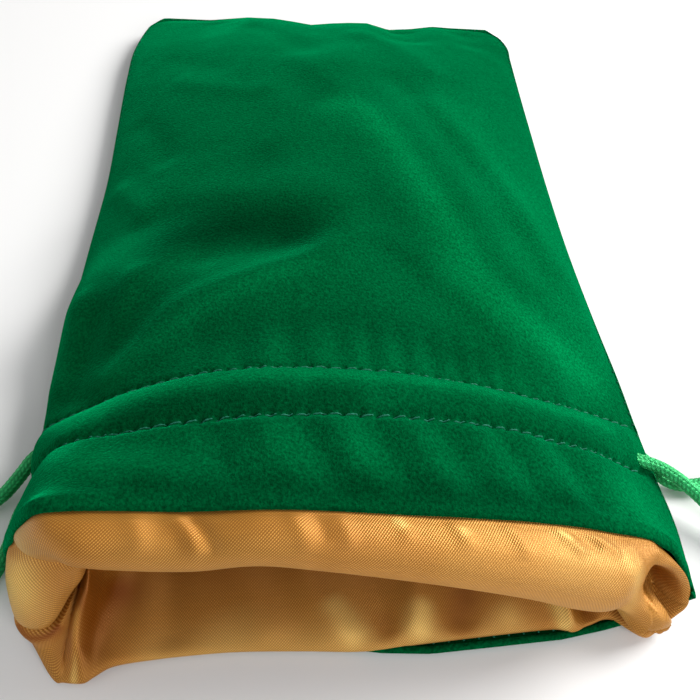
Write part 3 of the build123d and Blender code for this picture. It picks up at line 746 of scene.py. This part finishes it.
def lip_stations():
    """Every lip profile with its place, all the way round the mouth."""
    stations = list(LEFT_LIPS)
    edge = smooth_curve(FRONT_EDGE, 801)
    slope = np.gradient(edge, axis=0)
    for place, x, size in ROLL_STATIONS:
        at = np.argmin(np.abs(edge[:, 0] - x) + 100 * (edge[:, 2] < 8))
        inward = np.array((slope[at, 2], 0, -slope[at, 0]))
        inward /= np.linalg.norm(inward)
        points = []
        for forward, depth in ROLL:
            out = forward * size if forward > 0 else forward
            down = depth * size if forward > 4 or depth > 3 else depth
            points.append(edge[at] + (0, -out, 0) + inward * down)
        stations.append((place, points))
    stations += RIGHT_LIPS
    for place, x, y in HEM_STATIONS:
        stations.append((place, [(x, y + setback, z) for setback, z in HEM]))
    return stations + BACK_LEFT_LIPS


def lining_grid():
    """The lining's shown side, as one grid round the mouth and along the bag."""
    stations = lip_stations()
    places = np.array([place for place, _ in stations])
    around = catmull(len(stations), STATION_STEP, closed=True)
    # Places run from just over 0 to just under 4, and round the end to the first one plus 4.
    spans = np.append(places, places[0] + 4)
    columns = np.interp(np.arange(len(around)) / STATION_STEP, np.arange(len(spans)), spans) % 4
    profiles = []
    for place, points in stations:
        inner = [lining_row(y, np.array([place]))[0] for y in (LIP_END_Y - 3, LIP_END_Y)]
        control = np.concatenate([points, inner])
        profiles.append(catmull(len(control), LIP_STEP) @ control)
    lip = np.einsum("cs,srk->rck", around, np.array(profiles))
    rows = [np.arange(LIP_END_Y + 0.5, -44, 0.5), np.arange(-44, LINING_END_Y, 2)]
    rows = np.concatenate([*rows, np.arange(LINING_END_Y, 81, 0.5)])
    body = np.array([lining_row(y, columns) for y in rows])
    gap = lip[-1] - lining_row(LIP_END_Y, columns)
    body += gap[None] * (1 - ease(rows, LIP_END_Y, -48))[:, None, None]
    grid = np.concatenate([lip, body])
    floor = ((columns > 2.12) & (columns < 3.72)).astype(float)
    height = folds_at(FLOOR_FOLDS, grid[..., 0], grid[..., 1]) * floor
    index = np.arange(len(grid))
    grid[..., 2] += height * ease(index, 5.5 * LIP_STEP, 8 * LIP_STEP)[:, None]
    roll = ((columns > 0.2) & (columns < 1.85)).astype(float)
    height = folds_at(ROLL_FOLDS, grid[..., 0], grid[..., 1]) * roll
    on_top = ease(index, 0.8 * LIP_STEP, 1.6 * LIP_STEP)
    on_top = on_top * (1 - ease(index, 3.8 * LIP_STEP, 5.0 * LIP_STEP))
    grid[..., 2] += height * on_top[:, None]
    return grid, columns


def lining_uv(grid):
    """Cloth distances with the same step across at every row, so that the weave runs evenly."""
    lip_rows = slice(LIP_STEP, 9 * LIP_STEP)
    steps = np.linalg.norm(np.diff(grid, axis=1), axis=2)[lip_rows].mean(axis=0)
    u = np.broadcast_to(np.concatenate([[0], np.cumsum(steps)]), grid.shape[:2])
    down = np.linalg.norm(np.diff(grid, axis=0), axis=2)
    down = 0.5 * down + 0.5 * down.mean(axis=1, keepdims=True)
    v = np.concatenate([np.zeros((1, grid.shape[1])), np.cumsum(down, 0)], 0)
    return np.stack([u, v], -1)


def lining_light_and_shade(grid, strokes):
    """The painted glints and shade of a lining panel at its lip, from strokes given in x and y."""
    tones = folds_at(strokes, grid[..., 0], grid[..., 1])
    index = np.arange(len(grid))[:, None]
    return tones * (1 - ease(index, 9 * LIP_STEP, 11 * LIP_STEP))


lining, lining_places = lining_grid()
# The columns at the side seams, where the front panel meets the back one.
left_seam = int(np.argmax(lining_places > 3.995))
right_seam = int(np.argmax(lining_places > 2.0))


def satin_panel(name, start, stop, strokes):
    """The part of the lining between two of its columns, as a panel."""
    grid = np.take(lining, range(start, stop + 1), axis=1)[:, ::-1]
    panel = sheet_mesh(name, grid, SATIN_THICKNESS, lining_uv(grid))
    give_tones(panel, lining_light_and_shade(grid, strokes))
    return panel


satin_front = satin_panel(
    "satin_front", left_seam - lining.shape[1], right_seam, ROLL_GLINTS_AND_SHADE + FLAP_GLINT
)
satin_back = satin_panel("satin_back", right_seam, left_seam, FLOOR_GLINTS_AND_SHADE)

# ---------------------------------------------------------------- drawcords

CORD_R = 1.1
CORD_AROUND = 50  # points round a cord
BRAID_HEIGHT = 0.08  # what the braid adds to the radius of a cord's tube
KNOTTED_R = 1.02  # a cord's radius where it is knotted
BRAID_COLUMNS = 10
LOOP_LENGTH = 0.8

# Where each tail goes from its slot in the side seam, as in the CAD model, in metres.
TAILS = {
    "right_tail_upper": [
        (0.0455, -0.0540, 0.0060), (0.0495, -0.0550, 0.0060), (0.0538, -0.0579, 0.0050),
        (0.0582, -0.0624, 0.0034), (0.0626, -0.0686, 0.0018), (0.0682, -0.0742, 0.0012),
        (0.0752, -0.0784, 0.0012), (0.0802, -0.0846, 0.0012), (0.0806, -0.0924, 0.0016),
        (0.0775, -0.0995, 0.0029),
    ],
    "right_tail_lower": [
        (0.0455, -0.0500, 0.00245), (0.0489, -0.0509, 0.00245), (0.0512, -0.0540, 0.0020),
        (0.0530, -0.0562, 0.0015), (0.0564, -0.0569, 0.0012), (0.0608, -0.0563, 0.0012),
        (0.0664, -0.0575, 0.0012), (0.0736, -0.0598, 0.0012), (0.0802, -0.0650, 0.0012),
        (0.0846, -0.0726, 0.0012), (0.0864, -0.0816, 0.0012), (0.0846, -0.0908, 0.0016),
        (0.0797, -0.1005, 0.0029),
    ],
    "left_tail_upper": [
        (-0.0455, -0.0500, 0.0060), (-0.0484, -0.0506, 0.0052), (-0.0511, -0.0540, 0.0032),
        (-0.0541, -0.0573, 0.0017), (-0.0596, -0.0596, 0.0012), (-0.0676, -0.0616, 0.0012),
        (-0.0750, -0.0668, 0.0012), (-0.0786, -0.0746, 0.0012), (-0.0782, -0.0834, 0.0012),
        (-0.0742, -0.0910, 0.0016), (-0.0688, -0.0974, 0.0029),
    ],
    "left_tail_lower": [
        (-0.0455, -0.0540, 0.00245), (-0.0486, -0.0556, 0.0023), (-0.0505, -0.0594, 0.0014),
        (-0.0507, -0.0646, 0.0012), (-0.0527, -0.0709, 0.0012), (-0.0582, -0.0754, 0.0012),
        (-0.0646, -0.0776, 0.0012), (-0.0698, -0.0820, 0.0012), (-0.0716, -0.0886, 0.0016),
        (-0.0670, -0.0959, 0.0029),
    ],
}
# The knot at the end of each cord: x and y where the tails enter, and its heading in degrees.
KNOTS = {"right": (78.4, -100.4, 156.0), "left": (-67.6, -97.0, -140.0)}
KNOT_Z = 2.9
KNOT_LENGTH = 6.0
KNOT_WRAPS = 3
LOOSE_END = 7.0


def spline_line(name, route):
    """The points, in metres, of the smooth NURBS spline that a route's points control."""
    data = bpy.data.curves.new(name, "CURVE")
    data.dimensions = "3D"
    data.resolution_u = 24
    spline = data.splines.new("NURBS")
    spline.points.add(len(route) - 1)
    for point, place in zip(spline.points, route):
        point.co = (*place, 1)
    spline.order_u = 3
    spline.use_endpoint_u = True
    carrier = bpy.data.objects.new(name, data)
    mesh = bpy.data.meshes.new_from_object(carrier)
    points = np.array([tuple(v.co) for v in mesh.vertices])
    bpy.data.objects.remove(carrier)
    bpy.data.meshes.remove(mesh)
    return points


def braid(angle, along):
    """Relief of a knitted satin cord: ten columns of short loops that lean in turn."""
    columns = angle / (2 * pi) * BRAID_COLUMNS
    odd = np.floor(columns) % 2
    across = np.abs(np.sin(pi * columns))
    lean = (1 - 2 * odd) * (columns % 1 - 0.5)
    loops = np.abs(np.sin(pi * (along / LOOP_LENGTH + lean * 0.6 + 0.5 * odd)))
    return 0.08 * (across**0.5 - 0.7) + 0.17 * (loops**0.5 - 0.7) * across**0.3


def cord_tube(points, around=CORD_AROUND, step=0.12, radius=CORD_R):
    """A cord's tube along points in millimetres."""
    line = resample(points, int(lengths_along(points)[-1] / step))
    return tube(line, radius - BRAID_HEIGHT, around, braid)


def cord_mesh(name, tubes, radius):
    """One mesh of a cord's tubes, with painted shade between the loops of the braid and painted
    light on them.
    """
    points, faces, uvs = join_tubes(tubes)
    obj = make_mesh(name, points, faces, uvs)
    give_tones(obj, 4.5 * braid(uvs[:, 0] / (radius - BRAID_HEIGHT), uvs[:, 1]))
    return obj


tails = {}
for name, route in TAILS.items():
    line = spline_line(name, route)
    tail = cord_mesh("cord_" + name, [cord_tube(line / MM)], CORD_R)
    tails[name] = (tail, line)
    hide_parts("drawcord_" + name)


def channel_cord(side):
    """A drawcord's way inside the channel: over the front, round the far side, and back."""
    y_front, y_back = CHANNEL_Y - 2 * side, CHANNEL_Y + 2 * side
    outer = row_at(along, front, y_front)
    points = [(45.6, y_front, 6)]
    for x in (44.6, 41, 37, 33, 21, 7, -7, -21, -33, -38, -42, -44.6, -46.2):
        under = 1.9 + 0.9 * ease(-abs(x), -38, -7) + 1.4 * ease(abs(x), 42, 46)
        z = np.interp(side * x, outer[:, 0], outer[:, 2]) - under
        points.append((x, y_front, z if x > -46 else min(z, 6.2)))
    points += [(-46.4, CHANNEL_Y, 3.9), (-45.6, y_back, 2.5)]
    points += [(x, y_back, 2.5) for x in (-40.5, -31, -14, 6, 24, 37, 44.8)]
    return smooth_curve(points, 260) * (side, 1, 1)


channel_cords = []
for name, side in (("right", 1), ("left", -1)):
    run = make_mesh(f"cord_{name}_in_channel", *tube(channel_cord(side), CORD_R - 0.05, 12))
    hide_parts(f"drawcord_{name}_channel_run")
    channel_cords.append(run)


def knot_tubes():
    """Tubes of a barrel knot along +Y from its entry: wraps, a strand across them, loose ends."""
    t = np.linspace(0, 1, 120)[::6]
    angle = 2 * pi * KNOT_WRAPS * t + 0.4
    y = 1.0 + (KNOT_LENGTH - 2.0) * t
    wraps = np.stack([1.85 * np.cos(angle), y, 1.85 * np.sin(angle)], 1)
    start = [(-1.1, -0.6, 0.2), (0.2, 0.1, 0.6), (1.4, 0.6, 0.9)]
    finish = [(0.9, KNOT_LENGTH - 0.3, 1.0), (0.4, KNOT_LENGTH + 0.2, 0.2)]
    wrapped = smooth_curve(np.concatenate([start, wraps, finish]), 200)
    cross = [(1.2, -0.7, -0.1), (0.9, 0.2, 1.2), (0.1, 1.6, 1.9), (-0.9, 3.4, 1.75)]
    cross += [(-1.2, 5.0, 1.2), (-1.0, KNOT_LENGTH + 0.2, 0.3)]
    core = [(0, 0.4, 0), (0, 3, -0.1), (0, 5.6, 0)]
    tubes = [
        cord_tube(wrapped, 28, 0.2, KNOTTED_R),
        cord_tube(smooth_curve(cross, 70), 28, 0.2, 0.98),
        tube(smooth_curve(core, 20), 1.0, 16),
    ]
    end = KNOT_LENGTH + LOOSE_END
    for points in (
        [(0.5, 5.4, 0.3), (1.0, 7.0, -0.6), (1.4, 9.5, -1.5), (1.3, end, -1.7)],
        [(-0.9, 5.4, 0.3), (-1.2, 7.4, -0.7), (-1.2, 10, -1.6), (-1.5, end - 0.8, -1.7)],
    ):
        line = smooth_curve(points, 60)
        line = resample(line, int(lengths_along(line)[-1] / 0.18))
        radii = np.full(len(line), KNOTTED_R)
        radii[-3:] = (0.92, 0.75, 0.45)  # the end is melted round
        tubes.append(tube(line, radii - BRAID_HEIGHT, 32, braid))
    return tubes


def knot_piece(name, x, y, heading):
    """The knot and the two loose ends past it, at the end of both tails."""
    turn = radians(heading)
    matrix = np.array([(cos(turn), -sin(turn), 0), (sin(turn), cos(turn), 0), (0, 0, 1)])
    placed = [(p @ matrix.T + (x, y, KNOT_Z), f, u) for p, f, u in knot_tubes()]
    return cord_mesh(name, placed, KNOTTED_R)


knots = {}
for side, (x, y, heading) in KNOTS.items():
    knots[side] = knot_piece(f"cord_{side}_end_knot", x, y, heading)
    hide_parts(f"drawcord_{side}_knot")

# ---------------------------------------------------------------- stitches and seams

THREAD_R = 0.105
TWIST_LENGTH = 1.3
SEAM_PITCH = 2.2
SEAM_STITCH_LENGTH = 1.3


def ply(points, normals):
    """Two strands of thread twisted round each other along a line."""
    sides = np.cross(line_tangents(points), normals)
    twist = lengths_along(points)[:, None] * 2 * pi / TWIST_LENGTH
    strands = []
    for start in (0, pi):
        offset = sides * np.cos(twist + start) + normals * np.sin(twist + start)
        strands.append(tube(points + offset * THREAD_R * 0.55, THREAD_R * 0.72, 7))
    return strands


def thread_piece(name, strands, node):
    """One piece of thread in place of its CAD node."""
    piece = make_mesh(name, *join_tubes(strands))
    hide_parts(node)
    return piece


def stitch_row(grid, y, sign, name, node):
    """A row of stitches over a panel's outer face, each a short arch of two-ply thread."""
    line = row_at(along, grid, y)
    normals = row_at(along, sign * grid_normals(grid), y)
    place = lengths_along(line)
    middle = place[-1] / 2
    reach = int((middle - 2.0) / STITCH_PITCH)
    t = np.linspace(-1, 1, 9)
    lift = THREAD_R * 1.5 * (1 - t**4) - THREAD_R * 1.2 + 0.02
    strands = []
    for k in range(-reach, reach):
        at = middle + (k + 0.5) * STITCH_PITCH + t / 2 * STITCH_LENGTH
        up = interpolate(at, place, normals)
        points = interpolate(at, place, line) + up * lift[:, None]
        points[:, 1] += 0.16 * t  # each stitch lies a little askew
        strands += ply(points, up)
    return thread_piece(name, strands, node)


thread_pieces = [
    stitch_row(front, ROW_NEAR_Y, 1, "stitches_front_near", "channel_stitches_front_lower"),
    stitch_row(front, ROW_FAR_Y, 1, "stitches_front_far", "channel_stitches_front_upper"),
    stitch_row(back, ROW_NEAR_Y, -1, "stitches_back_near", "channel_stitches_back_lower"),
    stitch_row(back, ROW_FAR_Y, -1, "stitches_back_far", "channel_stitches_back_upper"),
]


def seam_stitches(name, line, across, node):
    """Stitches over a seam, each lying across its line."""
    place = lengths_along(line)
    steps = np.linspace(-0.5, 0.5, 7)[:, None] * SEAM_STITCH_LENGTH
    strands = []
    for centre in np.arange(SEAM_PITCH, place[-1] - SEAM_PITCH / 2, SEAM_PITCH):
        point = interpolate(centre, place, line)
        tangent = interpolate(centre + 0.3, place, line) - point
        tangent /= np.linalg.norm(tangent)
        points = point + np.array(across) * steps + tangent * steps * 0.25
        strands += ply(points, np.tile(np.cross(across, tangent), (7, 1)))
    thread_pieces.append(thread_piece(name, strands, node))


def side_seam(column, inward, start, stop):
    """A side seam's line, a little inside the cloth."""
    return front[(along > start) & (along < stop), column] + (inward, 0, 0)


UPWARD, BACKWARD = (0.0, 0.0, 1.0), (0.0, 1.0, 0.0)
for side, column, inward in (("left", 0, 0.6), ("right", -1, -0.6)):
    line = side_seam(column, inward, -70, 81)
    seam_stitches(f"seam_velvet_{side}", line, UPWARD, f"velvet_side_seam_thread_{side}")
    line = side_seam(column, 3.5 * inward, LIP_END_Y, LINING_END_Y)
    seam_stitches(f"seam_lining_{side}", line, UPWARD, f"lining_side_seam_thread_{side}")
line = front[-1] - (0, 0.7, 0)
seam_stitches("seam_velvet_end", line, UPWARD, "velvet_end_seam_thread")
line = lining[-1][(lining_places > 0.1) & (lining_places < 1.9)]
seam_stitches("seam_lining_end", line, UPWARD, "lining_end_seam_thread")
line = front_sheet[0] + (0, 0.9, 0.2)
seam_stitches("seam_mouth_front", line, BACKWARD, "mouth_seam_thread_front")
line = back_sheet[0] + (0, 1.0, -0.3)
seam_stitches("seam_mouth_back", line, BACKWARD, "mouth_seam_thread_back")

# ---------------------------------------------------------------- materials


class Look:
    """A material's node tree, with short calls for adding nodes."""

    def __init__(self, name):
        self.material = bpy.data.materials.new(name)
        self.material.use_nodes = True
        self.tree = self.material.node_tree
        self.shader = self.tree.nodes["Principled BSDF"]

    def feed(self, socket, value):
        """Links another node to an input, or sets it."""
        if isinstance(value, bpy.types.NodeSocket):
            self.tree.links.new(value, socket)
        else:
            socket.default_value = (*value, 1) if socket.type == "RGBA" else value

    def add(self, kind, *inputs, **settings):
        """A node, with its first inputs in order, and others or its properties by name."""
        node = self.tree.nodes.new("ShaderNode" + kind)
        for key, value in settings.items():
            if hasattr(node, key):
                setattr(node, key, value)
            else:
                self.feed(node.inputs[key.replace("_", " ")], value)
        for socket, value in zip(node.inputs, inputs):
            self.feed(socket, value)
        return node

    def ramp(self, source, *stops):
        node = self.add("ValToRGB", source)
        for element, (position, colour) in zip(node.color_ramp.elements, stops):
            element.position = position
            element.color = (*colour, 1)
        return node.outputs[0]

    def mix(self, factor, first, second, blend_type="MIX"):
        node = self.add("Mix", factor, data_type="RGBA", blend_type=blend_type)
        self.feed(node.inputs[6], first)
        self.feed(node.inputs[7], second)
        return node.outputs[2]

    def math(self, operation, first, second):
        return self.add("Math", first, second, operation=operation).outputs[0]

    def tones(self):
        return self.add("Attribute", attribute_name="tones").outputs["Fac"]

    def place(self, output="Object", scale=(1, 1, 1), turn=0.0):
        coordinates = self.add("TexCoord").outputs[output]
        node = self.add("Mapping", coordinates, Rotation=(0, 0, turn), Scale=scale)
        return node.outputs[0]

    def noise(self, vector, scale, detail, roughness):
        node = self.add("TexNoise", vector, Scale=scale, Detail=detail, Roughness=roughness)
        return node.outputs[0]

    def wave(self, vector, scale, distortion):
        settings = {"Scale": scale, "Distortion": distortion, "Detail_Scale": 1.5}
        return self.add("TexWave", vector, **settings).outputs[1]

    def bump(self, height, strength, distance, under=None):
        node = self.add("Bump", Height=height, Strength=strength, Distance=distance)
        if under is not None:
            self.feed(node.inputs["Normal"], under)
        return node.outputs[0]

    def finish(self, colour, normal, roughness, **constants):
        inputs = {"Base_Color": colour, "Normal": normal, "Roughness": roughness, **constants}
        for key, value in inputs.items():
            self.feed(self.shader.inputs[key.replace("_", " ")], value)
        return self.material


def velvet_material():
    look = Look("velvet_green")
    space = look.place()
    grain = look.noise(space, 2300, 2.0, 0.65)
    tufts = look.noise(space, 1300, 3.0, 0.6)
    brushed = look.noise(space, 60, 3.0, 0.5)
    lying = look.noise(look.place(scale=(1, 0.5, 1), turn=0.7), 22, 2.0, 0.5)
    shade = look.ramp(brushed, (0.30, (0.0, 0.068, 0.018)), (0.75, (0.0, 0.094, 0.027)))
    drift = look.ramp(lying, (0.35, (0.0, 0.064, 0.016)), (0.65, (0.0, 0.098, 0.029)))
    shade = look.mix(0.4, shade, drift)
    # The mesh's tones paint light and shade, and some brushed pile, into the velvet's colour.
    shade = look.mix(1.0, shade, look.math("ADD", look.tones(), 1.0), "MULTIPLY")
    speck = look.ramp(grain, (0.30, (0.55, 0.55, 0.55)), (0.70, (1.35, 1.35, 1.35)))
    colour = look.mix(1.0, shade, speck, "MULTIPLY")
    soft = look.ramp(tufts, (0.25, (0.84, 0.84, 0.84)), (0.75, (1.14, 1.14, 1.14)))
    colour = look.mix(1.0, colour, soft, "MULTIPLY")
    normal = look.bump(grain, 0.55, 0.00035)
    normal = look.bump(brushed, 0.15, 0.0012, normal)
    return look.finish(
        colour,
        normal,
        0.95,
        Sheen_Weight=0.5,
        Sheen_Roughness=0.35,
        Sheen_Tint=(0.0, 0.80, 0.27),
        Specular_IOR_Level=0.0,
    )


def satin_material():
    look = Look("satin_gold")
    fibres = look.wave(look.place("UV", turn=radians(38)), 1.08, 0.2)
    cross = look.wave(look.place("UV", turn=radians(-47)), 0.95, 0.2)
    dots = look.math("MULTIPLY", fibres, look.math("ADD", look.math("MULTIPLY", cross, 0.6), 0.4))
    slub = look.noise(look.place("UV", scale=(0.35, 3.0, 1.0)), 1.0, 3.0, 0.6)
    tone = look.noise(look.place(), 40, 2.0, 0.5)
    colour = look.ramp(dots, (0.0, (0.36, 0.125, 0.012)), (0.9, (0.72, 0.37, 0.075)))
    tint = look.ramp(tone, (0.35, (0.88, 0.82, 0.74)), (0.65, (1.0, 1.0, 1.0)))
    colour = look.mix(1.0, colour, tint, "MULTIPLY")
    threads = look.ramp(slub, (0.3, (0.86, 0.84, 0.80)), (0.7, (1.06, 1.06, 1.06)))
    colour = look.mix(0.6, colour, threads, "MULTIPLY")
    # The tones paint the satin: glints mixed towards pale yellow where above 0, shade mixed
    # towards dark red-brown where below 0.
    tones = look.tones()
    lit = look.math("MULTIPLY", look.math("MAXIMUM", tones, 0.0), look.math("ADD", dots, 0.4))
    colour = look.mix(lit, colour, (1.0, 0.68, 0.20))
    deep = look.math("MINIMUM", look.math("MULTIPLY", tones, -1.0), 0.9)
    deep = look.math("MAXIMUM", deep, 0.0)
    colour = look.mix(deep, colour, (0.23, 0.048, 0.001))
    normal = look.bump(dots, 0.5, 0.0001)
    normal = look.bump(look.noise(look.place(), 220, 3.0, 0.5), 0.10, 0.0005, normal)
    rough = look.math("ADD", look.math("MULTIPLY", slub, 0.10), 0.36)
    tangent = look.add("Tangent", direction_type="UV_MAP", uv_map="cloth")
    look.feed(look.shader.inputs["Tangent"], tangent.outputs[0])
    return look.finish(
        colour,
        normal,
        rough,
        Metallic=0.35,
        Anisotropic=0.9,
        Anisotropic_Rotation=0.25,
        Specular_IOR_Level=0.55,
        Specular_Tint=(1.0, 0.92, 0.66),
    )


def cord_material():
    look = Look("cord_green")
    fine = look.wave(look.place("UV", turn=radians(25)), 2.2, 0.6)
    tone = look.noise(look.place(), 400, 3.0, 0.6)
    colour = look.ramp(fine, (0.1, (0.0, 0.20, 0.045)), (0.8, (0.045, 0.58, 0.19)))
    shade = look.ramp(tone, (0.3, (0.72, 0.76, 0.70)), (0.7, (1.15, 1.1, 1.1)))
    colour = look.mix(1.0, colour, shade, "MULTIPLY")
    # The mesh's tones: painted shade between the braid's loops, painted light on them.
    colour = look.mix(1.0, colour, look.math("ADD", look.tones(), 1.0), "MULTIPLY")
    normal = look.bump(fine, 0.35, 0.0001)
    return look.finish(
        colour,
        normal,
        0.36,
        Metallic=0.25,
        Anisotropic=0.4,
        Specular_IOR_Level=0.4,
        Specular_Tint=(0.45, 1.0, 0.65),
    )


def thread_material():
    look = Look("thread_teal")
    fine = look.noise(look.place(), 3500, 2.0, 0.6)
    colour = look.ramp(fine, (0.25, (0.004, 0.09, 0.05)), (0.75, (0.03, 0.24, 0.15)))
    return look.finish(colour, look.bump(fine, 0.4, 0.0001), 0.6, Specular_IOR_Level=0.08)


def floor_material():
    look = Look("studio_floor")
    tone = look.noise(look.place(), 3, 2.0, 0.5)
    colour = look.ramp(tone, (0.3, (0.86, 0.86, 0.86)), (0.7, (0.88, 0.88, 0.88)))
    return look.finish(colour, look.bump(tone, 0.02, 0.001), 0.7)


velvet, satin = velvet_material(), satin_material()
cord_look, thread = cord_material(), thread_material()


def dress(pieces, material):
    for piece in pieces:
        piece.data.materials.append(material)


dress((velvet_front, velvet_back), velvet)
dress((satin_front, satin_back), satin)
dress([*(tail for tail, _ in tails.values()), *knots.values(), *channel_cords], cord_look)
dress(thread_pieces, thread)
cad_looks = {"velvet": velvet, "lining": satin, "drawcord": cord_look}
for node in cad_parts.values():
    material = next((m for key, m in cad_looks.items() if node.name.startswith(key)), thread)
    node.data.materials.clear()
    node.data.materials.append(material)

# ---------------------------------------------------------------- bodies, cords and sheets

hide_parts("velvet_front_panel")
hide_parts("velvet_back_panel")
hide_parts("lining_front_panel")
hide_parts("lining_back_panel")
for piece in [velvet_front, velvet_back, satin_front, satin_back, *thread_pieces, *channel_cords]:
    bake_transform(piece)

for name, (tail, line) in tails.items():
    side = name.split("_")[0]
    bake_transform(tail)
for side, knot in knots.items():
    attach(knot, f"drawcord_{side}")

# ---------------------------------------------------------------- floor, light and camera

bpy.ops.mesh.primitive_plane_add(size=6, location=(0, 0, 0))
floor = bpy.context.object
floor.name = "studio_floor"
floor.data.materials.append(floor_material())


def area_light(name, place, target, size, power, colour):
    data = bpy.data.lights.new(name, "AREA")
    data.shape = "SQUARE"
    data.size = size
    data.energy = power
    data.color = colour
    lamp = bpy.data.objects.new(name, data)
    lamp.location = place
    lamp.rotation_euler = (Vector(target) - Vector(place)).to_track_quat("-Z", "Y").to_euler()
    bpy.context.scene.collection.objects.link(lamp)


area_light("key", (0.60, 0.28, 0.42), (0, 0, 0), 0.4, 9.0, (1.0, 0.99, 0.97))
area_light("fill", (0.32, -0.50, 0.36), (0, -0.06, 0), 0.3, 1.8, (0.99, 0.99, 1.0))
area_light("side", (-0.60, -0.20, 0.14), (0, -0.03, 0.01), 0.4, 0.6, (1.0, 1.0, 1.0))
bpy.context.scene.view_settings.view_transform = "Standard"
world = bpy.data.worlds.new("studio")
bpy.context.scene.world = world
world.use_nodes = True
background = world.node_tree.nodes["Background"]
background.inputs["Color"].default_value = (1, 1, 1, 1)
background.inputs["Strength"].default_value = 0.35

CAMERA_PLACE = (-6.08, -108.27, 106.97)
PITCH, YAW, ROLL_ANGLE = radians(52.67), radians(5.70), radians(4.0)
camera_data = bpy.data.cameras.new("camera")
camera_data.sensor_width = 36
camera_data.lens = 37.04
camera_data.clip_start = 0.005
camera = bpy.data.objects.new("camera", camera_data)
bpy.context.scene.collection.objects.link(camera)
bpy.context.scene.camera = camera
forward = Vector((sin(YAW) * cos(PITCH), cos(YAW) * cos(PITCH), -sin(PITCH)))
right = Vector((cos(YAW), -sin(YAW), 0))
above = right.cross(forward)
across = cos(ROLL_ANGLE) * right + sin(ROLL_ANGLE) * above
upward = -sin(ROLL_ANGLE) * right + cos(ROLL_ANGLE) * above
pose = Matrix((across, upward, -forward)).transposed().to_4x4()
pose.translation = Vector(CAMERA_PLACE) * MM
camera.matrix_world = pose
